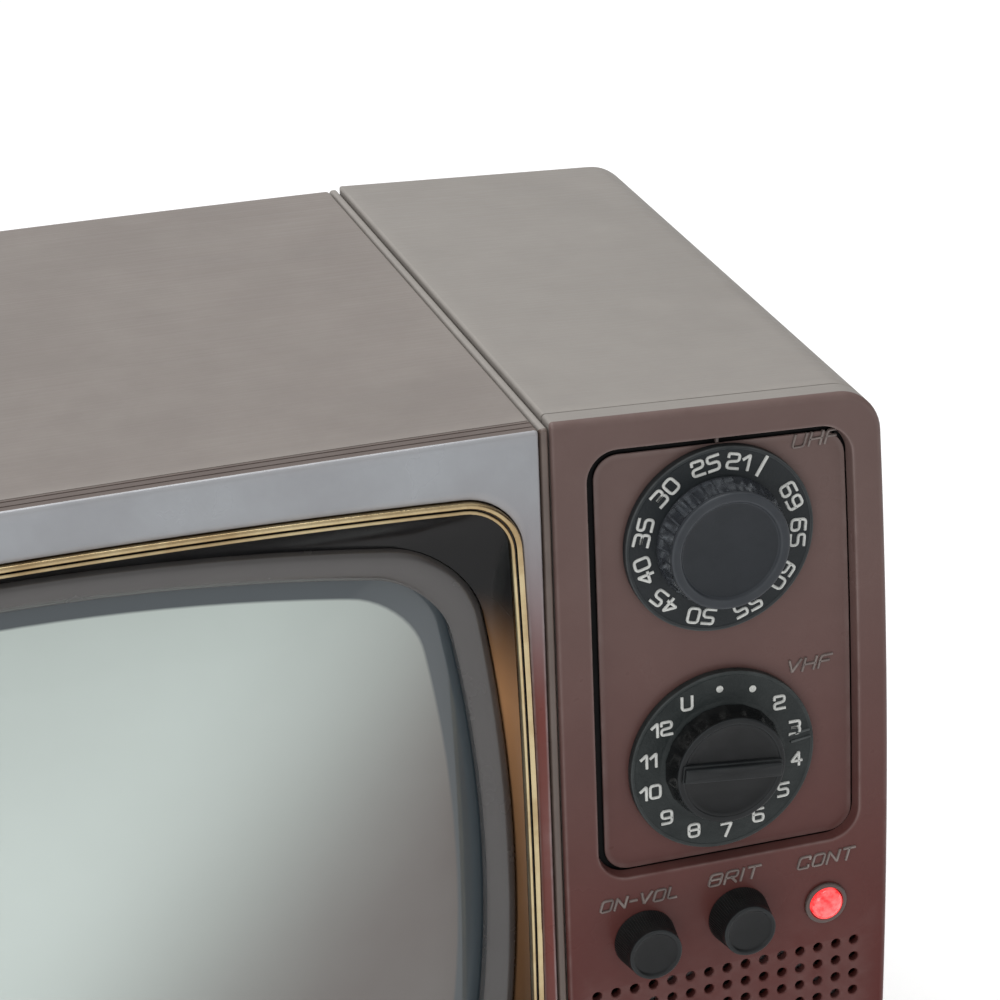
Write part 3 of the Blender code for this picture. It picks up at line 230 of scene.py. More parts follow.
def glass_outline(inset):
    return screen_outline(GLASS_HALF, LIP_BOW, GLASS_CORNER, inset)


def blended(first, second, share):
    """Straight blend of two outlines of equal length."""
    return first + (second - first) * share


def round_about(radius, sides, middle=(0.0, 0.0)):
    """Across and up at radius times (sin, cos) of equal steps of a whole turn."""
    angle = np.arange(sides) * 2 * math.pi / sides
    return middle[0] + radius * np.sin(angle), middle[1] + radius * np.cos(angle)


def circle(middle, radius, sides):
    """Points at radius times (sin, cos) of equal steps of a whole turn, from the top clockwise."""
    return np.stack(round_about(radius, sides, middle), axis=1)


# Surfaces: each part is (points, faces, finish number)

def placed(points, depth):
    """(x, z) points with a depth, as points of the frame."""
    depth = np.broadcast_to(depth, points.shape[:-1])
    return np.stack([points[..., 0], FRONT_Y + depth, points[..., 1]], axis=-1)


def ring_faces(rings, size, joined):
    """Four-cornered faces between each ring of points and the next; rings close on themselves."""
    steps = rings if joined else rings - 1
    row = np.arange(steps)[:, None]
    column = np.arange(size)[None, :]
    after = (row + 1) % rings
    side = (column + 1) % size
    return np.stack([row * size + column, row * size + side, after * size + side,
        after * size + column], axis=-1).reshape(-1, 4)


def skin(rings, joined=False, ends=True, finish=0):
    """A surface through rings of points: joined back to the first, or closed by a fan of
    three-cornered faces from the mean of each end ring, or left open."""
    rings = np.asarray(rings)
    count, size = rings.shape[:2]
    parts = [(rings.reshape(-1, 3), ring_faces(count, size, joined), finish)]
    if ends and not joined:
        for ring in (rings[0], rings[-1]):
            parts.append(fan(ring, finish))
    return parts


def fan(ring, finish=0):
    size = len(ring)
    around = np.arange(size)
    points = np.concatenate([ring, ring.mean(axis=0)[None]])
    return points, np.stack([around, (around + 1) % size, np.full(size, size)], axis=1), finish


def rings_at(outlines_and_depths):
    """Outlines of equal length, each at its own depth, as rings."""
    return np.stack([placed(outline, depth) for outline, depth in outlines_and_depths])


def turned(profile, middle, sides=64, joined=False, ends=True, finish=0, waves=None):
    """A profile of (radius, depth) carried round a circle about the depth axis.

    waves(angle, row) gives a share by which each point's radius grows, for flutes."""
    profile = np.asarray(profile, float)
    angle = np.arange(sides) * 2 * math.pi / sides
    radius = np.broadcast_to(profile[:, :1], (len(profile), sides)).copy()
    if waves is not None:
        radius *= 1 + waves(angle[None, :], np.arange(len(profile))[:, None])
    points = np.stack(round_about(radius, sides, middle), axis=-1)
    return skin(placed(points, profile[:, 1:2]), joined, ends, finish)


def shaft_hole(parts, base, tip, middle, sides):
    """Closes a knob's foot in to the hole for its shaft, and the hole at its end."""
    hole = turned([(SHAFT_HOLE, base), (SHAFT_HOLE, tip / 2)], middle, sides, ends=False)
    foot = skin(np.stack([parts[0][0][:sides], hole[0][0][:sides]]), ends=False)
    return hole + [fan(hole[0][0][-sides:])] + foot


def lifted(middle, x, z, depth):
    """Rings of points at x and z about a middle, each at its depth."""
    return np.stack([middle[0] + x, FRONT_Y + depth, middle[1] + z], axis=-1)


def flat_fill(loops, depth):
    """The flat face within the first loop and outside the others, as constrained Delaunay
    triangles. A triangle stays if a line from its middle crosses the loops an odd number of
    times; both steps work from the same rounded points."""
    points = (np.concatenate(loops) * 1000).astype(np.float32).astype(float)
    edges = []
    start = 0
    for loop in loops:
        around = np.arange(len(loop))
        edges.append(np.stack([start + around, start + (around + 1) % len(loop)], axis=1))
        start += len(loop)
    edges = np.concatenate(edges)
    made = delaunay_2d_cdt([Vector(point) for point in points], edges.tolist(), [], 0, 1e-5)
    corners = np.array([tuple(point) for point in made[0]])
    faces = np.array(made[2])
    middle = corners[faces].mean(axis=1)
    first, second = points[edges[:, 0]], points[edges[:, 1]]
    x, z = middle[:, None, 0], middle[:, None, 1]
    spans = (first[:, 1] > z) != (second[:, 1] > z)
    rise = np.where(second[:, 1] == first[:, 1], 1.0, second[:, 1] - first[:, 1])
    crossing = first[:, 0] + (z - first[:, 1]) / rise * (second[:, 0] - first[:, 0])
    kept = (spans & (x < crossing)).sum(axis=1) % 2 == 1
    return placed(corners / 1000, depth), faces[kept], 0


def rounded_profile(*corners, steps=5):
    """A profile through corners of (across, depth, radius), each corner replaced by a curve:
    the blend of the two points radius away along its sides with weights of a quadratic."""
    corners = np.array(corners, float)
    share = np.linspace(0.0, 1.0, steps + 1)[:, None]
    points = [corners[:1, :2]]
    for before, corner, after in zip(corners[:-2], corners[1:-1], corners[2:]):
        if corner[2] <= 0:
            points.append(corner[None, :2])
            continue
        into = before[:2] - corner[:2]
        out = after[:2] - corner[:2]
        start = corner[:2] + into / np.linalg.norm(into) * min(corner[2], np.linalg.norm(into) * 0.5)
        end = corner[:2] + out / np.linalg.norm(out) * min(corner[2], np.linalg.norm(out) * 0.5)
        points.append((1 - share) ** 2 * start + 2 * share * (1 - share) * corner[:2] + share ** 2 * end)
    points.append(corners[-1:, :2])
    return np.concatenate(points)


# Raised lettering: each sign is strokes of (x, z) within a height of one

CLOSED = "closed"
SIGNS = {
    "0": (1.0, [(CLOSED, (0, 0), (1, 0), (1, 1), (0, 1))]),
    "1": (0.55, [((0, 0.68), (0.55, 1), (0.55, 0))]),
    "2": (1.0, [((0, 0.8), (0, 1), (1, 1), (1, 0.52), (0, 0.44), (0, 0), (1, 0))]),
    "3": (1.0, [((0, 1), (1, 1), (1, 0.52), (0.25, 0.52)), ((0.25, 0.52), (1, 0.52), (1, 0), (0, 0))]),
    "4": (1.0, [((0.78, 0), (0.78, 1), (0, 0.3), (1, 0.3))]),
    "5": (1.0, [((1, 1), (0, 1), (0, 0.55), (1, 0.55), (1, 0), (0, 0))]),
    "6": (1.0, [((0.95, 1), (0, 1), (0, 0), (1, 0), (1, 0.56), (0.05, 0.56))]),
    "7": (1.0, [((0, 1), (1, 1), (0.4, 0))]),
    "8": (1.0, [(CLOSED, (0, 0), (1, 0), (1, 1), (0, 1)), ((0, 0.53), (1, 0.53))]),
    "9": (1.0, [((0.05, 0), (1, 0), (1, 1), (0, 1), (0, 0.44), (0.95, 0.44))]),
    "B": (1.0, [(CLOSED, (0, 0), (1, 0), (1, 1), (0, 1)), ((0, 0.53), (1, 0.53))]),
    "C": (1.0, [((1, 0.8), (1, 1), (0, 1), (0, 0), (1, 0), (1, 0.2))]),
    "F": (0.9, [((0, 0), (0, 1), (0.9, 1)), ((0, 0.52), (0.75, 0.52))]),
    "H": (1.0, [((0, 0), (0, 1)), ((1, 0), (1, 1)), ((0, 0.5), (1, 0.5))]),
    "I": (0.1, [((0.05, 0), (0.05, 1))]),
    "L": (0.85, [((0, 1), (0, 0), (0.85, 0))]),
    "N": (1.0, [((0, 0), (0, 1), (1, 0), (1, 1))]),
    "O": (1.0, [(CLOSED, (0, 0), (1, 0), (1, 1), (0, 1))]),
    "R": (1.0, [((0, 0), (0, 1), (1, 1), (1, 0.45), (0, 0.45)), ((0.5, 0.45), (1, 0))]),
    "T": (1.0, [((0, 1), (1, 1)), ((0.5, 1), (0.5, 0))]),
    "U": (1.0, [((0, 1), (0, 0), (1, 0), (1, 1))]),
    "V": (1.0, [((0, 1), (0.5, 0), (1, 1))]),
    "-": (0.6, [((0, 0.5), (0.6, 0.5))]),
    ".": (0.0, [((0, 0.5), (0.001, 0.5))]),
}
STROKE_PROFILE = np.array([(-1.0, -0.4), (-1.0, 0.15), (-0.72, 0.8), (-0.35, 1.0),
    (0.35, 1.0), (0.72, 0.8), (1.0, 0.15), (1.0, -0.4)])


def softened(corners, closed, reach):
    """A stroke's path with each corner turned into a curve: the quadratic blend of the
    points a reach before and after it. Sharp corners are rounded less."""
    corners = np.asarray(corners, float)
    count = len(corners)
    share = np.linspace(0.0, 1.0, 5)[:, None]
    points = []
    for index in range(count):
        if not closed and index in (0, count - 1):
            points.append(corners[index][None])
            continue
        here, before, after = corners[index], corners[index - 1], corners[(index + 1) % count]
        into, out = before - here, after - here
        lengths = np.linalg.norm(into), np.linalg.norm(out)
        bend = into @ out / (lengths[0] * lengths[1])
        cut = min(reach if abs(bend) < 0.3 else reach * 0.35, lengths[0] * 0.45, lengths[1] * 0.45)
        start, end = here + into / lengths[0] * cut, here + out / lengths[1] * cut
        points.append((1 - share) ** 2 * start + 2 * share * (1 - share) * here + share ** 2 * end)
    return np.concatenate(points)


def stroke(corners, closed, half_width, rise, reach):
    """The stroke's cross-section carried along its path: each point is the path's point plus
    the profile's width along the path's normal, and its height is the profile's height."""
    path = softened(corners, closed, reach)
    if closed:
        along = np.roll(path, -1, axis=0) - np.roll(path, 1, axis=0)
    else:
        first = path[1] - path[0]
        last = path[-1] - path[-2]
        path[0] -= first / np.linalg.norm(first) * half_width * 0.8
        path[-1] += last / np.linalg.norm(last) * half_width * 0.8
        along = np.gradient(path, axis=0)
    along /= np.linalg.norm(along, axis=1)[:, None]
    normal = np.stack([-along[:, 1], along[:, 0]], axis=1)
    flat = path[:, None, :] + normal[:, None, :] * (STROKE_PROFILE[:, 0] * half_width)[None, :, None]
    height = np.broadcast_to(STROKE_PROFILE[:, 1] * rise, flat.shape[:2])
    return np.concatenate([flat, height[..., None]], axis=-1)


def lettering(text, height, width, rise, weight, to_place, spacing=0.42, slant=0.0):
    """Raised signs in a row about the middle. to_place turns (x, z, rise) into the frame's points.

    Each sign is scaled to height and width, and leans by slant times its height."""
    advance = sum(SIGNS[sign][0] + spacing for sign in text) - spacing
    start = -advance / 2
    parts = []
    for sign in text:
        wide, strokes = SIGNS[sign]
        for corners in strokes:
            closed = corners[0] == CLOSED
            corners = np.array(corners[1:] if closed else corners, float)
            corners = corners - (0, 0.5)
            corners[:, 0] += start
            corners[:, 0] = corners[:, 0] * width + corners[:, 1] * slant * height
            corners[:, 1] *= height
            reach = 0.26 * height
            rings = stroke(corners, closed, weight / 2, rise, reach)
            parts += skin(to_place(rings), joined=closed)
        start += wide + spacing
    return parts


def on_panel(x, z, depth):
    """Places lettering upright on a face at that depth."""
    def to_place(points):
        return np.stack([x + points[..., 0], FRONT_Y + depth - points[..., 2], z + points[..., 1]], axis=-1)
    return to_place


def round_dial(middle, angle, radius, depth, upright):
    """Places lettering on a dial at a clockwise angle from the top; upright, or its tops outwards."""
    lean = 0.0 if upright else angle
    cosine, sine = math.cos(lean), math.sin(lean)
    x = middle[0] + radius * math.sin(angle)
    z = middle[1] + radius * math.cos(angle)

    def to_place(points):
        across = points[..., 0] * cosine + points[..., 1] * sine
        up = -points[..., 0] * sine + points[..., 1] * cosine
        return np.stack([x + across, FRONT_Y + depth - points[..., 2], z + up], axis=-1)
    return to_place


def slab(corners, depth, rise):
    """A small raised bar: an outline, and a smaller one above it."""
    corners = np.asarray(corners, float)
    middle = corners.mean(axis=0)
    upper = middle + (corners - middle) * 0.86
    return skin(rings_at([(corners, depth + rise * 0.3), (corners, depth - rise * 0.6),
        (upper, depth - rise)]))


# Meshes and objects

def curvature(points, corners, normals):
    """How sharply the surface bends outwards at each point, in 1/m: the mean over its edges of
    the change of normal along the edge, divided by the edge's length."""
    first, second = corners[:, 0], corners[:, 1]
    along = points[second] - points[first]
    length = np.maximum((along ** 2).sum(axis=1), 1e-12)
    bend = ((normals[second] - normals[first]) * along).sum(axis=1) / length
    total = np.zeros(len(points))
    count = np.zeros(len(points))
    for end in (first, second):
        np.add.at(total, end, bend)
        np.add.at(count, end, 1.0)
    return total / np.maximum(count, 1.0)


def make_piece(name, parts, finishes, body="set", stands_for=(), sharp=32.0, wear=600.0):
    """One mesh from its parts: joined where they touch, facing outwards, with its finishes."""
    offset = 0
    points, corners, starts, totals, kinds = [], [], [], [], []
    at = 0
    for part_points, faces, finish in parts:
        points.append(part_points)
        corners.append((faces + offset).ravel())
        totals.append(np.full(len(faces), faces.shape[1]))
        starts.append(at + np.arange(len(faces)) * faces.shape[1])
        kinds.append(np.full(len(faces), finish))
        offset += len(part_points)
        at += faces.size
    mesh = bpy.data.meshes.new(name)
    points, corners = np.concatenate(points), np.concatenate(corners)
    mesh.vertices.add(len(points))
    mesh.vertices.foreach_set("co", points.astype(np.float32).ravel())
    mesh.loops.add(len(corners))
    mesh.loops.foreach_set("vertex_index", corners.astype(np.int32))
    mesh.polygons.add(sum(len(start) for start in starts))
    mesh.polygons.foreach_set("loop_start", np.concatenate(starts).astype(np.int32))
    mesh.polygons.foreach_set("loop_total", np.concatenate(totals).astype(np.int32))
    mesh.polygons.foreach_set("material_index", np.concatenate(kinds).astype(np.int32))
    mesh.update(calc_edges=True)
    bm = bmesh.new()
    bm.from_mesh(mesh)
    bmesh.ops.remove_doubles(bm, verts=bm.verts, dist=2e-6)
    bmesh.ops.recalc_face_normals(bm, faces=bm.faces)
    bm.to_mesh(mesh)
    bm.free()
    mesh.shade_smooth()
    mesh.set_sharp_from_angle(angle=math.radians(sharp))
    add_wear(mesh, wear)
    for finish in finishes:
        mesh.materials.append(finish_for(finish))
    piece = bpy.data.objects.new(name, mesh)
    bpy.context.scene.collection.objects.link(piece)
    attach(piece, body)
    if stands_for:
        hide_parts(*stands_for)
    return piece


def add_wear(mesh, scale):
    """Stores the outward bend over a scale as the attribute edge, from nought to one."""
    count = len(mesh.vertices)
    points = np.empty(count * 3, np.float32)
    normals = np.empty(count * 3, np.float32)
    mesh.vertices.foreach_get("co", points)
    mesh.vertices.foreach_get("normal", normals)
    corners = np.empty(len(mesh.edges) * 2, np.int32)
    mesh.edges.foreach_get("vertices", corners)
    bend = curvature(points.reshape(-1, 3).astype(float), corners.reshape(-1, 2),
        normals.reshape(-1, 3).astype(float))
    attribute = mesh.attributes.new("edge", "FLOAT", "POINT")
    attribute.data.foreach_set("value", np.clip(bend / scale, 0.0, 1.0).astype(np.float32))


# Finishes: shared effects are node groups, and each material places them with its own values

def linear(red, green, blue):
    """A colour as light, from its 0 to 255 display values, by the usual display curve."""
    values = []
    for value in (red, green, blue):
        share = value / 255
        values.append(share / 12.92 if share <= 0.04045 else ((share + 0.055) / 1.055) ** 2.4)
    return (*values, 1.0)


def give_inputs(tree, node, inputs):
    """Values or links for a node's named inputs."""
    for key, value in inputs.items():
        if isinstance(value, bpy.types.NodeSocket):
            tree.links.new(value, node.inputs[key])
        else:
            node.inputs[key].default_value = value
    return node.outputs


def add_node(tree, kind, inputs=None, **settings):
    """The outputs of a new shader node with its settings and inputs."""
    node = tree.nodes.new("ShaderNode" + kind)
    for key, value in settings.items():
        setattr(node, key, value)
    return give_inputs(tree, node, inputs or {})


def place_group(tree, group, inputs):
    node = tree.nodes.new("ShaderNodeGroup")
    node.node_tree = group
    return give_inputs(tree, node, inputs)


def combined(tree, operation, first, second, **settings):
    return add_node(tree, "Math", {0: first, 1: second}, operation=operation, **settings)[0]


def mixed(tree, factor, first, second):
    return add_node(tree, "Mix", {"Factor": factor, "A": first, "B": second}, data_type="RGBA")["Result"]


def ranged(tree, value, start, end, low=0.0, high=1.0, smooth=True, clamp=True):
    """A value carried from the range start to end to the range low to high."""
    inputs = {"Value": value, "From Min": start, "From Max": end, "To Min": low, "To Max": high}
    kind = "SMOOTHSTEP" if smooth else "LINEAR"
    return add_node(tree, "MapRange", inputs, interpolation_type=kind, clamp=clamp)["Result"]


def noise(tree, position, scale, detail, roughness=0.5):
    return add_node(tree, "TexNoise", {"Vector": position, "Scale": scale, "Detail": detail,
        "Roughness": roughness})["Fac"]


def split(tree, vector):
    return add_node(tree, "SeparateXYZ", {0: vector})


def new_group(name, inputs, outputs, fill):
    """A shader node group made once; fill(tree, inputs) returns its outputs by name."""
    if name in bpy.data.node_groups:
        return bpy.data.node_groups[name]
    tree = bpy.data.node_groups.new(name, "ShaderNodeTree")
    kinds = {"value": "NodeSocketFloat", "vector": "NodeSocketVector", "colour": "NodeSocketColor"}
    for label, kind, default in [("Position", "vector", (0.0, 0.0, 0.0)), *inputs]:
        socket = tree.interface.new_socket(name=label, in_out="INPUT", socket_type=kinds[kind])
        socket.default_value = default
    for label, kind in outputs:
        tree.interface.new_socket(name=label, in_out="OUTPUT", socket_type=kinds[kind])
    given = tree.nodes.new("NodeGroupInput")
    made = fill(tree, given.outputs)
    result = tree.nodes.new("NodeGroupOutput")
    for label, socket in made.items():
        tree.links.new(socket, result.inputs[label])
    return tree


GREY = (0.5, 0.5, 0.5, 1.0)


def grain_group():
    """Moulded grain: two sizes of noise added, as a height about nought."""
    def fill(tree, given):
        fine = noise(tree, given["Position"], given["Scale"], 3.0, 0.6)
        coarse_scale = combined(tree, "MULTIPLY", given["Scale"], 0.23)
        coarse = noise(tree, given["Position"], coarse_scale, 2.0)
        return {"Height": combined(tree, "ADD", fine, combined(tree, "MULTIPLY", coarse, given["Coarse"]))}
    return new_group("Moulded grain", [("Scale", "value", 900.0), ("Coarse", "value", 0.6)],
        [("Height", "value")], fill)


def mottle_group():
    """Soft mottling: a broad noise blends a base colour with a second one."""
    def fill(tree, given):
        shaped = ranged(tree, noise(tree, given["Position"], given["Scale"], 4.0, 0.62), 0.3, 0.7)
        share = combined(tree, "MULTIPLY", shaped, given["Amount"])
        return {"Colour": mixed(tree, share, given["Base"], given["Second"]), "Mask": shaped}
    return new_group("Soft mottling", [("Base", "colour", GREY), ("Second", "colour", GREY),
        ("Scale", "value", 30.0), ("Amount", "value", 0.5)],
        [("Colour", "colour"), ("Mask", "value")], fill)


def wear_group():
    """Rubbed edges: the mesh's edge attribute, broken up by noise, blends in a lighter colour."""
    def fill(tree, given):
        edge = add_node(tree, "Attribute", attribute_name="edge")["Fac"]
        broken = ranged(tree, noise(tree, given["Position"], 160.0, 3.0), 0.25, 0.65, 0.35, smooth=False)
        share = combined(tree, "MULTIPLY", combined(tree, "MULTIPLY", edge, broken), given["Amount"],
            use_clamp=True)
        return {"Colour": mixed(tree, share, given["Colour"], given["Rubbed"])}
    return new_group("Rubbed edges", [("Colour", "colour", GREY), ("Rubbed", "colour", GREY),
        ("Amount", "value", 0.5)], [("Colour", "colour")], fill)


def dust_group():
    """Thin dust: faces that look up take a paler colour where a noise is high."""
    def fill(tree, given):
        upward = ranged(tree, split(tree, add_node(tree, "NewGeometry")["Normal"])["Z"], 0.2, 1.0,
            smooth=False)
        patchy = ranged(tree, noise(tree, given["Position"], 45.0, 6.0, 0.7), 0.4, 0.75, smooth=False)
        share = combined(tree, "MULTIPLY", combined(tree, "MULTIPLY", upward, patchy), given["Amount"],
            use_clamp=True)
        return {"Colour": mixed(tree, share, given["Colour"], (0.42, 0.40, 0.36, 1.0))}
    return new_group("Thin dust", [("Colour", "colour", GREY), ("Amount", "value", 0.2)],
        [("Colour", "colour")], fill)


def lines_group():
    """Fine parallel lines: noise drawn out along one direction, as a mask."""
    def fill(tree, given):
        stretched = add_node(tree, "VectorMath", {0: given["Position"], 1: given["Stretch"]},
            operation="MULTIPLY")[0]
        return {"Mask": ranged(tree, noise(tree, stretched, 1.0, 2.0), 0.35, 0.65, smooth=False)}
    return new_group("Fine lines", [("Stretch", "vector", (20.0, 1500.0, 900.0))], [("Mask", "value")], fill)


def rise_group():
    """How high a point stands between two heights, as a share."""
    def fill(tree, given):
        return {"Mask": ranged(tree, split(tree, given["Position"])["Z"], given["Low"], given["High"])}
    return new_group("Height share", [("Low", "value", 0.0), ("High", "value", 0.27)], [("Mask", "value")],
        fill)


def start_material(name):
    """A new material's tree, its shader and the object's own coordinates."""
    material = bpy.data.materials.new(name)
    material.use_nodes = True
    tree = material.node_tree
    return material, tree, tree.nodes["Principled BSDF"], add_node(tree, "TexCoord")["Object"]


def set_sheen(shader, **values):
    """Plain numbers on the shader's own inputs."""
    labels = {"coat": "Coat Weight", "ior": "IOR", "specular": "Specular IOR Level"}
    for key, value in values.items():
        if value is not None:
            shader.inputs[labels.get(key, key.replace("_", " ").title())].default_value = value


def mottled_colour(tree, position, base, second, scale, amount):
    """Soft mottling between two colours; the base may also be a socket."""
    if not isinstance(base, bpy.types.NodeSocket):
        base = linear(*base)
    return place_group(tree, mottle_group(), {"Position": position, "Base": base, "Second": linear(*second),
        "Scale": scale, "Amount": amount})


def rubbed_colour(tree, position, colour, rubbed, amount):
    return place_group(tree, wear_group(), {"Position": position, "Colour": colour,
        "Rubbed": linear(*rubbed), "Amount": amount})["Colour"]


def dusty_colour(tree, position, colour, amount):
    return place_group(tree, dust_group(), {"Position": position, "Colour": colour,
        "Amount": amount})["Colour"]


def fine_lines(tree, position, stretch):
    return place_group(tree, lines_group(), {"Position": position, "Stretch": stretch})["Mask"]


def grain(tree, position, scale, **more):
    return place_group(tree, grain_group(), {"Position": position, "Scale": scale, **more})["Height"]


def finish_surface(tree, shader, colour, mask, rough, height=None, distance=None):
    """Colour, roughness between two values by a mask, and a bump of a height."""
    tree.links.new(colour, shader.inputs["Base Color"])
    tree.links.new(ranged(tree, mask, 0.0, 1.0, *rough, smooth=False), shader.inputs["Roughness"])
    if height is not None:
        bump = add_node(tree, "Bump", {"Height": height, "Distance": distance, "Strength": 1.0})
        tree.links.new(bump["Normal"], shader.inputs["Normal"])


def plastic(name, base, second, rubbed, grains=(900.0, 0.00004), rough=(0.35, 0.5), wear=0.5, dust=0.1,
    mottle=(40.0, 0.6), **sheen):
    """Moulded plastic: mottled colour, rubbed edges, dust above, fine grain below."""
    material, tree, shader, position = start_material(name)
    mottled = mottled_colour(tree, position, base, second, *mottle)
    worn = rubbed_colour(tree, position, mottled["Colour"], rubbed, wear)
    finish_surface(tree, shader, dusty_colour(tree, position, worn, dust), mottled["Mask"], rough,
        grain(tree, position, grains[0]), grains[1])
    set_sheen(shader, **sheen)
    return material


def metal(name, base, second, stretch, rough=(0.2, 0.4), bump=0.00002, metallic=1.0):
    """Worked metal: mottled colour and fine lines along one direction."""
    material, tree, shader, position = start_material(name)
    mottled = mottled_colour(tree, position, base, second, 60.0, 0.6)
    lines = fine_lines(tree, position, stretch)
    finish_surface(tree, shader, mottled["Colour"], lines, rough, lines, bump)
    set_sheen(shader, metallic=metallic)
    return material


def sleeve_paint(name, base, second, rubbed):
    """Painted cabinet: matte, mottled, with very fine lines that run from side to side."""
    material, tree, shader, position = start_material(name)
    mottled = mottled_colour(tree, position, base, second, 14.0, 0.5)["Colour"]
    lines = fine_lines(tree, position, (9.0, 1100.0, 1100.0))
    lined = mixed(tree, combined(tree, "MULTIPLY", lines, 0.16), mottled, linear(*rubbed))
    worn = rubbed_colour(tree, position, lined, rubbed, 0.5)
    height = combined(tree, "ADD", lines, grain(tree, position, 1400.0))
    finish_surface(tree, shader, dusty_colour(tree, position, worn, 0.1), lines, (0.46, 0.6), height,
        0.00002)
    return material


def front_plastic(name, high, low, second, rubbed, rough, painted_reflection_heights, metallic):
    """Front mouldings: brown plastic with a metallic sheen, redder below; the grey towards the top is a
    painted reflection of the bright surroundings above.
    """
    material, tree, shader, position = start_material(name)
    # Painted reflection: between two heights the redder low colour blends into the greyer high colour above
    share = place_group(tree, rise_group(), {"Position": position, "Low": painted_reflection_heights[0],
        "High": painted_reflection_heights[1]})["Mask"]
    base_and_painted_reflection = mixed(tree, share, linear(*low), linear(*high))
    mottled = mottled_colour(tree, position, base_and_painted_reflection, second, 26.0, 0.2)
    worn = rubbed_colour(tree, position, mottled["Colour"], rubbed, 0.45)
    finish_surface(tree, shader, worn, mottled["Mask"], rough, grain(tree, position, 420.0, Coarse=1.6),
        0.00008)
    set_sheen(shader, metallic=metallic, coat=0.05, coat_roughness=0.15, specular=0.14)
    return material


def screen_glass(name):
    """The face of the tube: pale phosphor under clear polished glass, with a darker band at its rim.
    Towards the lower right a dark brown is blended in as a painted reflection of darker surroundings;
    the blend follows the shares of the distance right of and above the middle, weighted and summed."""
    material, tree, shader, position = start_material(name)
    places = split(tree, position)
    # Painted reflection: the phosphor colour darkens to brown towards the screen's lower right
    across = ranged(tree, places["X"], SCREEN_X, SCREEN_X + 0.125, high=0.72, smooth=False, clamp=False)
    up = ranged(tree, places["Z"], SCREEN_Z, SCREEN_Z + 0.0985, high=-0.50, smooth=False, clamp=False)
    slope = combined(tree, "ADD", combined(tree, "ADD", across, up), 0.17)
    brown = mixed(tree, ranged(tree, slope, 0.05, 0.85), linear(*chosen("screen")), linear(82, 72, 68))
    mottled = mottled_colour(tree, position, brown, (150, 158, 152), 9.0, 0.12)["Colour"]
    rim = add_node(tree, "Attribute", attribute_name="rim")["Fac"]
    edged = mixed(tree, ranged(tree, rim, 0.936, 0.943, smooth=False), mottled, linear(58, 68, 74))
    finish_surface(tree, shader, edged, fine_lines(tree, position, (2600.0, 1.0, 60.0)), (0.3, 0.36))
    set_sheen(shader, coat=1.0, coat_roughness=0.015, ior=1.52)
    return material


def mask_black_painted_reflection(name):
    """Glossy black, with a painted tan reflection on the side that faces left, below its corner."""
    material, tree, shader, position = start_material(name)
    facing = split(tree, add_node(tree, "NewGeometry")["Normal"])["X"]
    height = split(tree, position)["Z"]
    # Painted reflection: faces turned left, below the corner and fading lower down, take a tan colour
    side = ranged(tree, facing, -0.12, -0.5)
    low = ranged(tree, height, SCREEN_Z + 0.085, SCREEN_Z + 0.045)
    fade = ranged(tree, height, SCREEN_Z - 0.07, SCREEN_Z + 0.05, low=0.12, smooth=False)
    share = combined(tree, "MULTIPLY", combined(tree, "MULTIPLY", side, low), fade)
    mottled = mottled_colour(tree, position, (6, 6, 7), (14, 14, 16), 60.0, 0.6)
    finish_surface(tree, shader, mixed(tree, share, mottled["Colour"], linear(168, 124, 86)),
        mottled["Mask"], (0.14, 0.24))
    set_sheen(shader, specular=0.22)
    return material


def lens_red(name):
    material, tree, shader, position = start_material(name)
    mottled = mottled_colour(tree, position, (214, 6, 10), (255, 60, 60), 420.0, 0.7)
    tree.links.new(mottled["Colour"], shader.inputs["Base Color"])
    glow = mixed(tree, mottled["Mask"], (1.0, 0.0, 0.004, 1.0), (1.0, 0.10, 0.10, 1.0))
    tree.links.new(glow, shader.inputs["Emission Color"])
    set_sheen(shader, emission_strength=1.35, roughness=0.12, coat=1.0, coat_roughness=0.03)
    return material


def knob_plastic(name, base, second, rubbed, rough, grains, wear=0.6):
    return plastic(name, base, second, rubbed, grains, rough, wear, 0.04, (120.0, 0.5), specular=0.25)


def chosen(name):
    """A colour from the sidebar as display values up to 255."""
    return [value * 255 for value in getattr(settings().colours, name)]


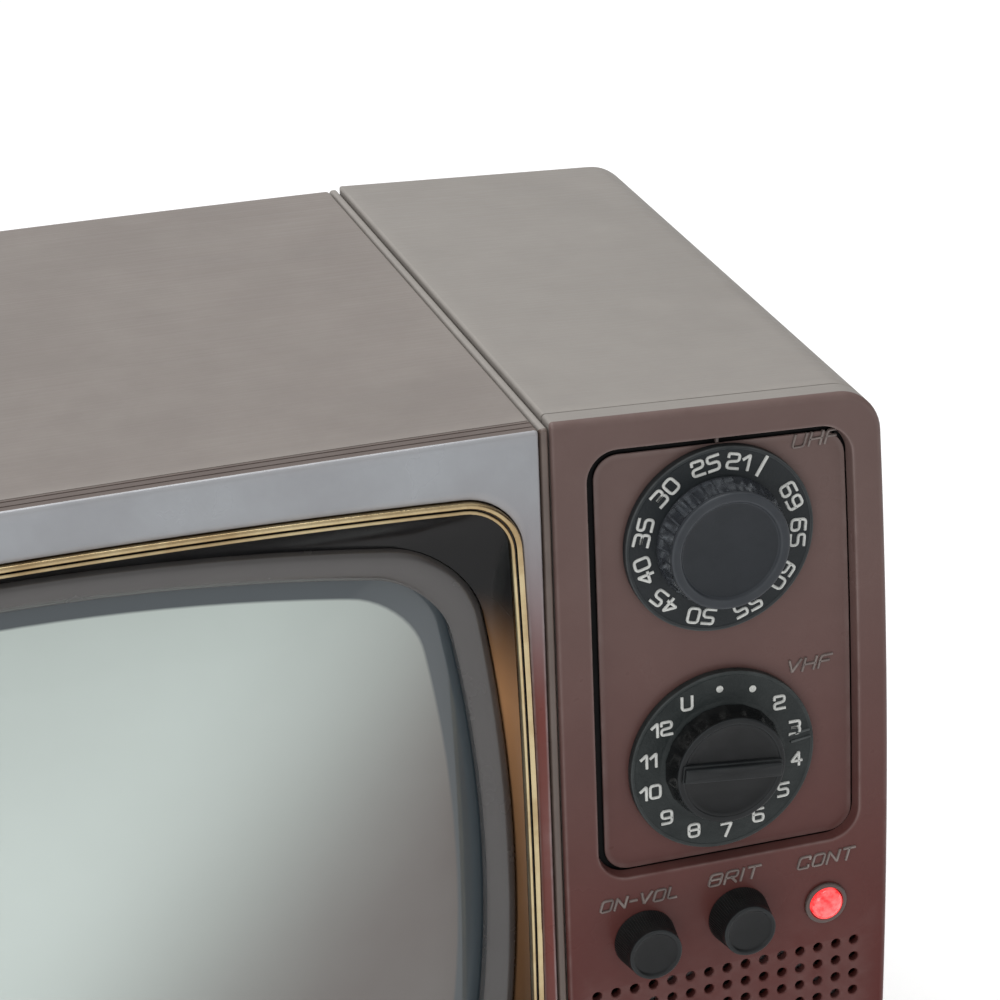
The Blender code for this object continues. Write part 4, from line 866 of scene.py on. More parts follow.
# Each finish: how it is made, its colours (a word is one of the sidebar's colours) and what else it takes
FINISHES = {
    "cabinet paint": (sleeve_paint, "cabinet", (110, 103, 98), (140, 133, 127)),
    "control paint": (sleeve_paint, "control_cabinet", (122, 117, 112), (156, 151, 145)),
    "strip brown": (plastic, (86, 74, 68), (76, 64, 60), (120, 106, 98), {"dust": 0.0}),
    # Black for the groove round the recess floor: painted shade, widest along the recess's left and top
    "channel black": (plastic, (8, 8, 9), (5, 5, 6), (12, 12, 13),
        {"dust": 0.0, "rough": (0.5, 0.6), "specular": 0.1}),
    # Bezel and panel: the sidebar colour is the painted reflection at the top, the next colour the redder
    # plastic below, blended between the two heights given
    "bezel plastic": (front_plastic, "bezel", (104, 54, 48), (100, 92, 92), (176, 172, 172), (0.26, 0.38),
        (0.19, 0.265), 0.25),
    "panel plastic": (front_plastic, "panel", (82, 24, 20), (70, 46, 44), (160, 146, 142), (0.24, 0.38),
        (0.05, 0.28), 0.0),
    "gold": (metal, "trim", (128, 96, 58), (900.0, 900.0, 40.0), (0.10, 0.22)),
    "gloss black": (plastic, (10, 10, 11), (7, 7, 8), (40, 42, 44),
        {"dust": 0.02, "rough": (0.12, 0.2), "grains": (300.0, 0.00002), "specular": 0.3}),
    "mask black": (mask_black_painted_reflection,),
    "lip plastic": (plastic, (61, 58, 57), (54, 50, 50), (104, 104, 104),
        {"dust": 0.02, "rough": (0.2, 0.3), "grains": (300.0, 0.00003), "coat": 0.4,
            "coat_roughness": 0.08}),
    "screen glass": (screen_glass,),
    "funnel coating": (plastic, (40, 40, 42), (28, 28, 30), (60, 60, 62), {"dust": 0.0, "rough": (0.5, 0.7)}),
    "dial black": (knob_plastic, "dials", (34, 38, 40), (110, 114, 114), (0.42, 0.6), (1500.0, 0.00012)),
    "channel dial black": (knob_plastic, (34, 40, 40), (22, 27, 28), (96, 100, 100), (0.34, 0.55),
        (1100.0, 0.00018)),
    "numeral paint": (plastic, (196, 198, 194), (150, 152, 150), (230, 230, 226),
        {"dust": 0.0, "rough": (0.4, 0.5), "mottle": (500.0, 0.6), "grains": (1500.0, 0.00003)}),
    "knob skirt": (knob_plastic, (16, 17, 18), (10, 11, 12), (104, 108, 108), (0.14, 0.24), (600.0, 0.00001)),
    "knob ring": (knob_plastic, (46, 50, 55), (38, 42, 48), (110, 114, 118), (0.3, 0.4), (1200.0, 0.00003)),
    "knob face": (knob_plastic, (34, 38, 43), (28, 32, 36), (70, 74, 80), (0.34, 0.46), (2200.0, 0.00004)),
    "channel knob": (knob_plastic, (16, 18, 20), (11, 13, 14), (70, 76, 78), (0.3, 0.42), (1400.0, 0.00003)),
    "knurled black": (knob_plastic, (16, 18, 19), (11, 12, 13), (60, 66, 66), (0.36, 0.5), (900.0, 0.00003)),
    "lens": (lens_red,),
    "lamp ring": (plastic, (74, 62, 58), (62, 52, 50), (120, 106, 100),
        {"dust": 0.0, "rough": (0.3, 0.45), "grains": (1200.0, 0.00003)}),
    "cover plastic": (plastic, (44, 42, 40), (36, 34, 33), (84, 80, 76),
        {"dust": 0.3, "rough": (0.48, 0.62), "grains": (1300.0, 0.00018)}),
    "label plastic": (plastic, (58, 42, 40), (46, 32, 30), (160, 148, 142),
        {"dust": 0.0, "rough": (0.35, 0.45), "wear": 0.8, "mottle": (300.0, 0.5)}),
    "knob facets": (metal, (116, 120, 126), (84, 90, 100), (40.0, 900.0, 40.0), (0.16, 0.30), 0.000005, 0.85),
    "rubber": (plastic, (30, 30, 30), (22, 22, 22), (50, 50, 50),
        {"dust": 0.35, "rough": (0.7, 0.9), "grains": (1800.0, 0.00008)}),
    "steel": (metal, (168, 170, 172), (140, 142, 146), (1200.0, 40.0, 1200.0), (0.25, 0.45)),
    "copper": (metal, (168, 92, 52), (140, 70, 40), (1400.0, 60.0, 60.0), (0.3, 0.5)),
    "ferrite": (plastic, (60, 60, 64), (48, 48, 52), (90, 90, 94), {"rough": (0.55, 0.75)}),
    "circuit board": (plastic, (140, 108, 62), (118, 88, 50), (160, 130, 80),
        {"rough": (0.4, 0.6), "mottle": (200.0, 0.7)}),
    "cone paper": (plastic, (44, 42, 40), (32, 30, 29), (60, 58, 54),
        {"rough": (0.85, 0.95), "grains": (2400.0, 0.0002)}),
}


def finish_for(name):
    """The material of one finish, made once."""
    label = "television " + name
    if label in bpy.data.materials:
        return bpy.data.materials[label]
    maker, *values = FINISHES[name]
    more = values.pop() if values and isinstance(values[-1], dict) else {}
    values = [chosen(value) if isinstance(value, str) else value for value in values]
    return maker(label, *values, **more)


# Sizes and colours that a user would change

def size(name, description, default):
    return FloatProperty(name=name, description=description, default=default, min=0.0, unit="LENGTH",
        precision=5)


class MouldingSizes(bpy.types.PropertyGroup):
    seam_step: size("Seam step", "Depth of the two fine seams round the bezel", 0.00035)
    crown: size("Bezel crown", "How far the bezel's face falls towards the screen", 0.0009)
    lip_height: size("Lip height", "How far the lip round the glass stands before the mask's back", 0.0021)
    recess_edge: size("Recess edge", "Radius of the recess's upper edge", 0.0007)
    hole_edge: size("Hole edge", "Chamfer round each speaker hole", 0.00030)


class DialSizes(bpy.types.PropertyGroup):
    number_height: size("Number height", "Height of the dials' numbers", 0.0041)
    number_width: size("Number width", "Width of one sign on the dials", 0.0031)
    number_weight: size("Number weight", "Thickness of the numbers' strokes", 0.00085)
    number_rise: size("Number rise", "How far the numbers stand above the dial", 0.00038)
    uhf_radius: size("UHF number radius", "Radius of the UHF numbers' middles", 0.0222)
    vhf_radius: size("VHF number radius", "Radius of the VHF numbers' middles", 0.0218)
    flutes: IntProperty(name="Flutes", description="Facets round the UHF knob's skirt", default=38, min=8)
    knurls: IntProperty(name="Knurls", description="Ridges round each small knob", default=72, min=12)


def colour(name, description, red, green, blue):
    return FloatVectorProperty(name=name, description=description, size=3, subtype="COLOR_GAMMA", min=0.0,
        max=1.0, default=(red / 255, green / 255, blue / 255))


class FinishColours(bpy.types.PropertyGroup):
    cabinet: colour("Picture cabinet", "Paint of the picture section's sleeve", 122, 114, 109)
    control_cabinet: colour("Control cabinet", "Paint of the control section's sleeve", 134, 129, 124)
    # The bezel's and panel's top colours hold a painted reflection of the bright surroundings; lower down
    # their plastic is redder
    bezel: colour("Bezel", "The bezel's colour along its top", 153, 156, 160)
    panel: colour("Control panel", "The control panel's colour at its top", 104, 86, 82)
    trim: colour("Trim", "Colour of the metal trim round the screen", 190, 174, 138)
    screen: colour("Screen", "The screen's colour where it is palest", 194, 206, 201)
    dials: colour("Dials", "Colour of the UHF dial", 27, 32, 35)


class StageSettings(bpy.types.PropertyGroup):
    floor_colour: FloatVectorProperty(name="Floor", description="Colour of the floor", size=3,
        subtype="COLOR", default=(0.90, 0.90, 0.90), min=0.0, max=1.0)
    floor_glow: FloatProperty(name="Floor glow", description="Light that the floor adds of its own",
        default=0.3, min=0.0)
    sky_colour: FloatVectorProperty(name="Surround", description="Colour of the light from all round",
        size=3, subtype="COLOR", default=(1.0, 1.0, 1.0), min=0.0, max=1.0)
    shade_colour: FloatVectorProperty(name="Shade", description="Colour of the shaded part of the surround",
        size=3, subtype="COLOR", default=(0.10, 0.08, 0.08), min=0.0, max=1.0)
    sky_strength: FloatProperty(name="Surround strength", description="Strength of that light", default=0.75)
    overhead_power: FloatProperty(name="Overhead light", description="Power of the light above", default=9.0,
        unit="POWER")
    front_power: FloatProperty(name="Front light", description="Power of the light before the set",
        default=3.0, unit="POWER")
    focal_length: FloatProperty(name="Focal length", description="The camera's lens", default=124.349,
        unit="CAMERA")


class TelevisionSettings(bpy.types.PropertyGroup):
    mouldings: PointerProperty(type=MouldingSizes, name="Mouldings", description="Sizes of the mouldings")
    dials: PointerProperty(type=DialSizes, name="Dials", description="Sizes on the dials and knobs")
    colours: PointerProperty(type=FinishColours, name="Colours", description="Main colours of the finishes")
    stage: PointerProperty(type=StageSettings, name="Stage", description="Floor, lights and camera")


def settings():
    return bpy.context.scene.tube_television


class PieceOperator:
    """Common to the operators: each calls build(), which raises if anything fails."""
    bl_options = {"REGISTER", "UNDO"}

    def execute(self, context):
        self.build(settings())
        return {"FINISHED"}


# Cabinet

def sleeve_parts(outline_of):
    """One wall carried back along the section's outline to the roll and the flange at the
    back, and the same again inside."""
    turn = np.linspace(0.0, math.pi / 2, 9)
    outer = [(0.0007, SLEEVE_FRONT), (0.0002, SLEEVE_FRONT + 0.0001), (0.0, SLEEVE_FRONT + 0.0005),
        (0.0, SLEEVE_FRONT + 0.0040)]
    outer += [(REAR_ROLL_RADIUS * (1 - math.cos(a)), CABINET_DEPTH - REAR_ROLL_RADIUS * (1 - math.sin(a)))
        for a in turn]
    outer += [(REAR_ROLL_RADIUS + 0.0010, CABINET_DEPTH), (REAR_FLANGE, CABINET_DEPTH),
        (REAR_FLANGE, CABINET_DEPTH - WALL)]
    roll = REAR_ROLL_RADIUS - WALL
    inner = [(WALL + roll * (1 - math.cos(a)), CABINET_DEPTH - WALL - roll * (1 - math.sin(a)))
        for a in turn[::-2]] + [(WALL, SLEEVE_FRONT)]
    return skin(rings_at([(outline_of(inset), depth) for inset, depth in outer + inner]), joined=True)


class TELEVISION_OT_cabinet(PieceOperator, bpy.types.Operator):
    """Build the two painted sleeves of the cabinet"""
    bl_idname = "television.cabinet"
    bl_label = "Cabinet sleeves"

    def build(self, sizes):
        make_piece("picture_sleeve", sleeve_parts(picture_outline), ["cabinet paint"],
            stands_for=["picture_cabinet"])
        make_piece("control_sleeve", sleeve_parts(control_outline), ["control paint"],
            stands_for=["control_cabinet"])
        self.build_groove_strip()

    def build_groove_strip(self):
        """The strip between the sections: its side outline, carried across and drawn in towards
        both edges by the fourth power of the distance from its middle."""
        rings = []
        for share in np.linspace(-1.0, 1.0, 9):
            inset = 0.0010 * share ** 4
            outline = rounded_box((0.0007 + inset, CABINET_DEPTH - GROOVE_DEPTH),
                (BOTTOM + GROOVE_DEPTH, TOP - 0.0014 - inset), (0.0008,) * 4, 5, 3)
            across = (GROOVE_LEFT + GROOVE_RIGHT) / 2 + share * ((GROOVE_RIGHT - GROOVE_LEFT) / 2 - GAP)
            rings.append(np.stack([np.full(len(outline), across), FRONT_Y + outline[:, 0],
                outline[:, 1]], axis=1))
        parts = []
        for points, faces, _ in skin(rings):
            before = points[faces][:, :, 1].mean(axis=1) < FRONT_Y + FRONT_THICKNESS
            parts += [(points, faces[before], 0), (points, faces[~before], 1)]
        make_piece("groove_strip", parts, ["strip brown", "control paint"], stands_for=["groove_spine"])


# Bezel, trim, mask and glass

def rolled_front(outline_of, seam, steps=8):
    """The front moulding's outer edge: a strip with two fine seams, each a step inwards and
    out again, then a quarter circle round to the front face."""
    profile = [(0.0006, FRONT_THICKNESS), (0.0, FRONT_THICKNESS - 0.0005)]
    for start in (0.0062, 0.0034):
        profile += [(0.0, start), (seam, start - 0.0001), (seam, start - 0.0005), (0.0, start - 0.0006)]
    angles = np.linspace(0.0, math.pi / 2, steps + 1)
    profile += [(ROLL_RADIUS * (1 - math.cos(a)), ROLL_RADIUS * (1 - math.sin(a))) for a in angles]
    return [(outline_of(inset, min(inset, ROLL_RADIUS) * GROOVE_EDGE / ROLL_RADIUS), depth)
        for inset, depth in profile]


def strip_and_face(rings, strip_rows):
    """Rings joined into a closed skin whose first rows take the strip's finish."""
    points, faces, _ = skin(rings_at(rings), joined=True)[0]
    in_strip = np.arange(len(faces)) // (len(faces) // len(rings)) < strip_rows
    return [(points, faces[~in_strip], 0), (points, faces[in_strip], 1)]


STRIP_ROWS = 12


class TELEVISION_OT_bezel(PieceOperator, bpy.types.Operator):
    """Build the moulded frame round the screen"""
    bl_idname = "television.bezel"
    bl_label = "Front bezel"

    def build(self, sizes):
        crown = sizes.mouldings.crown
        rim = WALL + GAP
        back = FRONT_THICKNESS + LOCATING_RIM
        rings = rolled_front(picture_outline, sizes.mouldings.seam_step)
        first = picture_outline(ROLL_RADIUS, GROOVE_EDGE)
        last = trim_outline(-0.0006)
        for share in np.linspace(0.0, 1.0, 9)[1:]:
            rings.append((blended(first, last, share), crown * share ** 2))
        rings += [(trim_outline(-0.0004), crown + 0.0001), (trim_outline(-GAP), crown + 0.0004),
            (trim_outline(-GAP), back), (picture_outline(rim), back),
            (picture_outline(rim), FRONT_THICKNESS)]
        make_piece("bezel_moulding", strip_and_face(rings, STRIP_ROWS), ["bezel plastic", "strip brown"],
            stands_for=["front_bezel"])


class TELEVISION_OT_screen(PieceOperator, bpy.types.Operator):
    """Build the gold trim, the dark mask, the lip and the glass of the screen"""
    bl_idname = "television.screen"
    bl_label = "Screen"

    def build(self, sizes):
        self.build_trim()
        self.build_mask()
        self.build_lip(sizes.mouldings.lip_height)
        self.build_tube()

    def build_trim(self):
        """A band, a dark channel and an inner bead, carried round the trim's outline."""
        profile = [(0.0, 2.0), (0.0, 0.3), (0.15, -0.15), (0.4, -0.38), (0.9, -0.5), (1.4, -0.42),
            (1.62, -0.2), (1.7, 0.4), (1.78, 0.55), (2.05, 0.55), (2.12, 0.4), (2.2, -0.1),
            (2.4, -0.3), (2.7, -0.34), (2.98, -0.2), (3.15, 0.1), (3.2, 0.5), (3.2, 2.0)]
        rings = rings_at([(trim_outline(across / 1000), depth / 1000) for across, depth in profile])
        points, faces, _ = skin(rings, joined=True)[0]
        row = np.arange(len(faces)) // (len(faces) // len(profile))
        channel = np.isin(row, [7, 8, 9])
        make_piece("trim_ring", [(points, faces[~channel], 0), (points, faces[channel], 1)],
            ["gold", "gloss black"], stands_for=["gold_trim"], wear=3000.0)

    def build_mask(self):
        """A slope from the trim to the lip, its outline blended from one to the other."""
        front = MASK_THICKNESS + GAP
        outer, inner = trim_outline(TRIM_WIDTH), lip_outline(0.0)
        rings = [(trim_outline(0.0), front), (outer, front)]
        for share in np.linspace(0.0, 1.0, 12)[1:]:
            dip = front + (MASK_DEPTH - front) * (share + 0.10 * math.sin(math.pi * share))
            rings.append((blended(outer, inner, share), dip))
        rings += [(inner, MASK_DEPTH + MASK_THICKNESS), (trim_outline(MASK_THICKNESS), front + 0.004),
            (trim_outline(0.0), front + MASK_THICKNESS)]
        parts = skin(rings_at(rings), joined=True)
        boss_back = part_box("screen_mask")[1][1] - FRONT_Y
        for number in range(1, 5):
            middle = middle_of(f"tube_screw_{number}")
            parts += turned([(0.0045, MASK_DEPTH + 0.0012), (0.0045, boss_back), (0.0018, boss_back),
                (0.0018, boss_back - 0.009)], middle, 24)
        make_piece("mask_slope", parts, ["mask black"], stands_for=["screen_mask"])

    def build_lip(self, height):
        """A half round from the mask to the glass: the blend across it, raised by a sine."""
        back = FACE_EDGE_DEPTH - 2 * MASK_THICKNESS / 3
        outer, inner = lip_outline(GAP), glass_outline(0.0)
        rings = [(outer, back), (outer, MASK_DEPTH + 0.0012)]
        for share in np.linspace(0.0, 1.0, 15):
            rise = math.sin(math.pi * share ** 0.8) ** 0.7 if 0 < share < 1 else 0.0
            depth = MASK_DEPTH + 0.0004 + 0.0016 * share - height * rise
            rings.append((blended(outer, inner, share), depth))
        rings += [(inner, MASK_DEPTH + 0.0032), (inner, back)]
        make_piece("glass_lip", skin(rings_at(rings), joined=True), ["lip plastic"],
            stands_for=["tube_surround"])

    def build_tube(self):
        """Faceplate, funnel and neck: the face's depth falls with the square of the share
        outwards, and the funnel blends its outline into the neck's circle."""
        rim = glass_outline(-FACE_MARGIN)
        rim_back = glass_outline(GAP - FACE_MARGIN + BAND_THICKNESS)
        inner_rim = glass_outline(TUBE_GLASS + GAP)
        middle = np.array([SCREEN_X, SCREEN_Z])

        def towards_round(outline, radius, share):
            around = outline - middle
            ring = middle + radius * around / np.linalg.norm(around, axis=1)[:, None]
            return blended(outline, ring, share)

        face_shares = np.concatenate([np.linspace(0.02, 0.9, 40), np.linspace(0.905, 1.0, 24)])
        face = [(middle + (rim - middle) * share, FACE_EDGE_DEPTH - FACE_SAG * (1 - share * share))
            for share in face_shares]
        face_rings = rings_at(face)
        shell = [(rim, FACE_EDGE_DEPTH), (rim_back, FACE_EDGE_DEPTH + 0.002), (rim_back, TUBE_RIM_DEPTH)]
        funnel_shares = np.linspace(0.0, 1.0, 20)[1:]
        span = FUNNEL_END - TUBE_RIM_DEPTH
        shell += [(towards_round(rim_back, NECK_RADIUS, share ** 1.25), TUBE_RIM_DEPTH + span * share)
            for share in funnel_shares]
        shell += [(towards_round(rim, NECK_RADIUS, 1.0), NECK_END),
            (towards_round(rim, NECK_RADIUS - NECK_GLASS, 1.0), NECK_END)]
        shell += [(towards_round(inner_rim, NECK_RADIUS - NECK_GLASS, share ** 1.25),
            TUBE_RIM_DEPTH + span * share) for share in funnel_shares[::-1]]
        shell += [(inner_rim, FACE_EDGE_DEPTH + FACE_GLASS + TUBE_GLASS)]
        shell += [(middle + (inner_rim - middle) * share,
            FACE_EDGE_DEPTH - FACE_SAG * (1 - share * share) + FACE_GLASS)
            for share in (0.85, 0.6, 0.3)]
        shell_rings = rings_at(shell)
        parts = skin(face_rings, ends=False) + [fan(face_rings[0])]
        parts += skin(shell_rings, ends=False, finish=1) + [fan(shell_rings[-1], 1)]
        tube = make_piece("tube_glass", parts, ["screen glass", "funnel coating"],
            stands_for=["picture_tube"])
        mark_rim(tube, middle)


def mark_rim(tube, middle):
    """Stores how far each point of the face lies from its middle to its rim, as a share of the
    bowed, round-cornered outline through it, as the attribute rim."""
    mesh = tube.data
    points = np.empty(len(mesh.vertices) * 3, np.float32)
    mesh.vertices.foreach_get("co", points)
    points = points.reshape(-1, 3)[:, [0, 2]] - middle
    outline = glass_outline(0.0) - middle
    outline_angle = np.arctan2(outline[:, 1], outline[:, 0])
    order = np.argsort(outline_angle)
    reach = np.linalg.norm(outline, axis=1)
    angle = np.arctan2(points[:, 1], points[:, 0])
    limit = np.interp(angle, outline_angle[order], reach[order], period=2 * math.pi)
    attribute = mesh.attributes.new("rim", "FLOAT", "POINT")
    attribute.data.foreach_set("value", (np.linalg.norm(points, axis=1) / limit).astype(np.float32))


# Control panel

def recess_outline(inset):
    x = (RIGHT - RECESS_X[0] + inset, RIGHT - RECESS_X[1] - inset)
    z = (BOTTOM + RECESS_Z[0] + inset, BOTTOM + RECESS_Z[1] - inset)
    return fall_and_bow(rounded_box(x, z, (RECESS_CORNER - inset,) * 4))


def grille_places():
    """Middles of the speaker holes: an even grid, bowed with the panel's right side."""
    column, row = np.meshgrid(np.arange(15), np.arange(13))
    places = np.stack([RIGHT - 0.0101 - column.ravel() * 0.0055,
        BOTTOM + 0.0950 - row.ravel() * 0.0055], axis=1)
    return bowed(places)


class TELEVISION_OT_panel(PieceOperator, bpy.types.Operator):
    """Build the control panel with its recess, speaker holes and moulded labels"""
    bl_idname = "television.panel"
    bl_label = "Control panel"

    def build(self, sizes):
        edge, chamfer = sizes.mouldings.recess_edge, sizes.mouldings.hole_edge
        rim, back = WALL + GAP, FRONT_THICKNESS + LOCATING_RIM
        rings = rolled_front(control_outline, 0.0)
        support = (ROLL_RADIUS + 0.0004, GROOVE_EDGE + 0.0004)
        inner_rim = control_outline(rim + WALL)
        parts = skin(rings_at(rings[STRIP_ROWS - 2:]), ends=False)
        parts += skin(rings_at(rings[:STRIP_ROWS - 1]), ends=False, finish=1)
        parts += skin(rings_at([(rings[-1][0], 0.0), (control_outline(*support), 0.0)]), ends=False)
        parts += skin(rings_at([(rings[0][0], FRONT_THICKNESS), (control_outline(rim), FRONT_THICKNESS),
            (control_outline(rim), back), (inner_rim, back),
            (inner_rim, FRONT_THICKNESS)]), ends=False)
        recess = self.recess_profile(edge)
        wall = [(recess_outline(inset), depth) for inset, depth in recess]
        # Painted shade: a black groove at the foot of the recess wall. Its inner edge is shifted right and
        # down, so it is widest along the left and top where the walls cast shade
        floor_edge = recess_outline(RECESS_SLOPE + 0.0013) + np.array([0.0010, -0.0010])
        low = RECESS_DEPTH + 0.0008
        channel = [(recess_outline(RECESS_SLOPE), RECESS_DEPTH), (recess_outline(RECESS_SLOPE), low),
            (floor_edge, low), (floor_edge, RECESS_DEPTH + 0.0002)]
        floor_edge = recess_outline(RECESS_SLOPE + 0.0015) + np.array([0.0010, -0.0010])
        parts += skin(rings_at(wall + channel[:1]), ends=False)
        parts += skin(rings_at(channel), ends=False, finish=2)
        inner_edge = recess_outline(RECESS_SLOPE + 0.0030) + np.array([0.0010, -0.0010])
        parts += skin(rings_at([channel[-1], (floor_edge, RECESS_DEPTH), (inner_edge, RECESS_DEPTH)]),
            ends=False)
        parts.append(flat_fill([inner_edge], RECESS_DEPTH))
        holes = self.hole_rings(chamfer)
        parts += self.hole_walls(holes)
        parts.append(flat_fill(
            [control_outline(*support), recess_outline(recess[0][0])] + list(holes[0]), 0.0))
        pocket = bowed(rounded_box((GROOVE_RIGHT + rim + WALL + 0.0006, RIGHT - rim - WALL - 0.0010),
            (BOTTOM + rim + WALL + 0.0010, BOTTOM + RECESS_Z[0] - PANEL_THICKNESS),
            (0.0055,) * 4, 6, 8))
        parts += skin(rings_at([(pocket, FRONT_THICKNESS), (pocket, PANEL_THICKNESS)]), ends=False)
        parts.append(flat_fill([inner_rim, pocket], FRONT_THICKNESS))
        parts.append(flat_fill([pocket] + list(holes[-1]), PANEL_THICKNESS))
        make_piece("panel_moulding", parts, ["panel plastic", "control paint", "channel black"],
            stands_for=["control_panel"], wear=1500.0)
        self.build_labels()

    def recess_profile(self, edge):
        """From the flat before the edge, round it and down the slope."""
        curve = rounded_profile((-edge - 0.0003, 0.0, 0.0), (0.0, 0.0, edge),
            (RECESS_SLOPE, RECESS_DEPTH - 0.0001, 0.0), steps=6)
        return [tuple(point) for point in curve]

    def hole_rings(self, chamfer):
        """Each hole's circles, one array of holes for each depth."""
        places = grille_places()
        radius = 0.00145
        sets = []
        for grow in (chamfer, 0.0, 0.0):
            angle = np.arange(12) * 2 * math.pi / 12
            ring = (radius + grow) * np.stack([np.sin(angle), np.cos(angle)], axis=1)
            sets.append(places[:, None, :] + ring[None])
        return sets

    def hole_walls(self, holes):
        """Chamfer and wall of every hole at once: the grid's faces, shifted for each hole."""
        depths = (0.0, 0.0003, PANEL_THICKNESS)
        points = np.stack([placed(ring, depth) for ring, depth in zip(holes, depths)], axis=1)
        count, rows, sides = points.shape[:3]
        faces = ring_faces(rows, sides, False)
        faces = faces[None] + (np.arange(count) * rows * sides)[:, None, None]
        return [(points.reshape(-1, 3), faces.reshape(-1, 4), 0)]

    def build_labels(self):
        floor = RECESS_DEPTH
        texts = (("UHF", 0.1696, 0.2580, 0.0034, 0.0033, floor),
            ("VHF", 0.1677, 0.1915, 0.0034, 0.0033, floor),
            ("ON-VOL", 0.1161, 0.1312, 0.0032, 0.0029, 0.0), ("BRIT", 0.1439, 0.1322, 0.0034, 0.0033, 0.0),
            ("CONT", 0.1713, 0.1316, 0.0034, 0.0031, 0.0))
        parts = []
        for text, x, z, height, width, depth in texts:
            parts += lettering(text, height, width, 0.0005, 0.0008, on_panel(x, z, depth), slant=0.3)
        bar = [(DIAL_X - 0.0004, UHF_Z + 0.0272), (DIAL_X + 0.0004, UHF_Z + 0.0272),
            (DIAL_X + 0.0004, UHF_Z + 0.0296), (DIAL_X - 0.0004, UHF_Z + 0.0296)]
        parts += slab(bar, floor, 0.0009)
        make_piece("panel_labels", parts, ["label plastic"], wear=2500.0)


# Dials and knobs

UHF_NUMBERS = ((14, "21"), (350, "25"), (317, "30"), (285, "35"), (256, "40"), (226, "45"), (195, "50"),
    (160, "55"), (128, "60"), (95, "65"), (66, "69"))
VHF_SIGNS = (".", ".", "2", "3", "4", "5", "6", "7", "8", "9", "10", "11", "12", "U")
VHF_FIRST = -2.0


def dial_disc(middle, inner):
    """A disc with a rounded rim and a shallow step a little inside it."""
    radius = DIAL_RADIUS
    profile = rounded_profile((inner, DIAL_FRONT, 0), (radius * 0.66, DIAL_FRONT, 0),
        (radius * 0.68, DIAL_FRONT + 0.0002, 0.0003),
        (radius - 0.0012, DIAL_FRONT + 0.0002, 0.0004),
        (radius - 0.0009, DIAL_FRONT, 0.0003), (radius, DIAL_FRONT, 0.0005),
        (radius, DIAL_BACK, 0), (inner, DIAL_BACK, 0))
    return turned(profile, middle, 128, joined=True)


class TELEVISION_OT_uhf_tuning(PieceOperator, bpy.types.Operator):
    """Build the UHF dial that turns, its numbers and its knob"""
    bl_idname = "television.uhf_tuning"
    bl_label = "UHF tuning"

    def build(self, sizes):
        dials = sizes.dials
        middle = (DIAL_X, UHF_Z)
        make_piece("uhf_disc", dial_disc(middle, 0.0036), ["dial black"], "uhf_tuning", ["uhf_dial"],
            wear=2000.0)
        face = DIAL_FRONT + 0.0002
        parts = []
        for degrees, text in UHF_NUMBERS:
            to_place = round_dial(middle, math.radians(degrees), dials.uhf_radius, face, upright=False)
            parts += lettering(text, dials.number_height, dials.number_width, dials.number_rise,
                dials.number_weight, to_place)
        to_place = round_dial(middle, math.radians(32), 0.0226, face, upright=False)
        line = np.array([[(0.0, -0.0027), (0.0, 0.0027)]])[0]
        parts += skin(to_place(stroke(line, False, 0.0005, dials.number_rise, 0.0)))
        make_piece("uhf_numbers", parts, ["numeral paint"], "uhf_tuning", wear=2500.0)
        make_piece("uhf_grip", self.knob_parts(middle, dials.flutes),
            ["knob facets", "knob ring", "knob face"], "uhf_tuning", ["uhf_knob"], sharp=24.0, wear=2500.0)

    def knob_parts(self, middle, flutes):
        """Skirt: a cone whose radius is cut between fine ridges, each facet flat. Then the
        broad ring, the step down and the dished face."""
        low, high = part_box("uhf_knob")
        tip = low[1] - FRONT_Y
        base = high[1] - FRONT_Y
        outer = (high[2] - low[2]) / 2 - 0.00005
        ring = 0.0168
        steps = np.linspace(0.0, 1.0, 7)[:, None]
        skirt = np.array([[outer, base]]) + steps * np.array([[ring - outer, tip + 0.0016 - base]])
        per_facet = 8

        def facets(angle, row):
            """Facet: one over the cosine of the angle from its middle; ridge: a narrow peak."""
            share = (angle * flutes / (2 * math.pi)) % 1.0 - 0.5
            flat = np.cos(math.pi / flutes) / np.cos(share * 2 * math.pi / flutes) - 1
            ridge = 0.016 * np.exp(-((0.5 - np.abs(share)) / 0.07) ** 2)
            fade = np.clip((row - 0.2) / 1.0, 0.0, 1.0) * np.clip((6 - row) / 1.0, 0.0, 1.0)
            return flat + (ridge - 0.016) * np.maximum(fade, 0.3)

        sides = flutes * per_facet
        parts = turned(skirt, middle, sides, ends=False, waves=facets)
        top = ring * 0.995
        cap = rounded_profile((skirt[-1, 0] * 0.984, tip + 0.0016, 0), (top, tip + 0.0014, 0.0001),
            (top, tip, 0.0009), (ring * 0.845, tip, 0.0004),
            (ring * 0.815, tip + 0.0007, 0.0003), (ring * 0.80, tip + 0.0008, 0), steps=6)
        parts += turned(cap, middle, sides, ends=False, finish=1)
        inward = np.linspace(1.0, 0.04, 16)
        radius = ring * 0.80
        dish = [(radius * share, tip + 0.0008 + 0.0009 * (1 - share ** 2)) for share in inward]
        parts += turned(dish, middle, sides, ends=False, finish=2)
        parts.append(fan(parts[-1][0][-sides:], 2))
        parts += shaft_hole(parts, base, tip, middle, sides)
        skirt_top = parts[0][0][-sides:]
        cap_base = turned(cap[:1], middle, sides, ends=False)[0][0]
        parts += skin(np.stack([skirt_top, cap_base]), ends=False)
        return parts


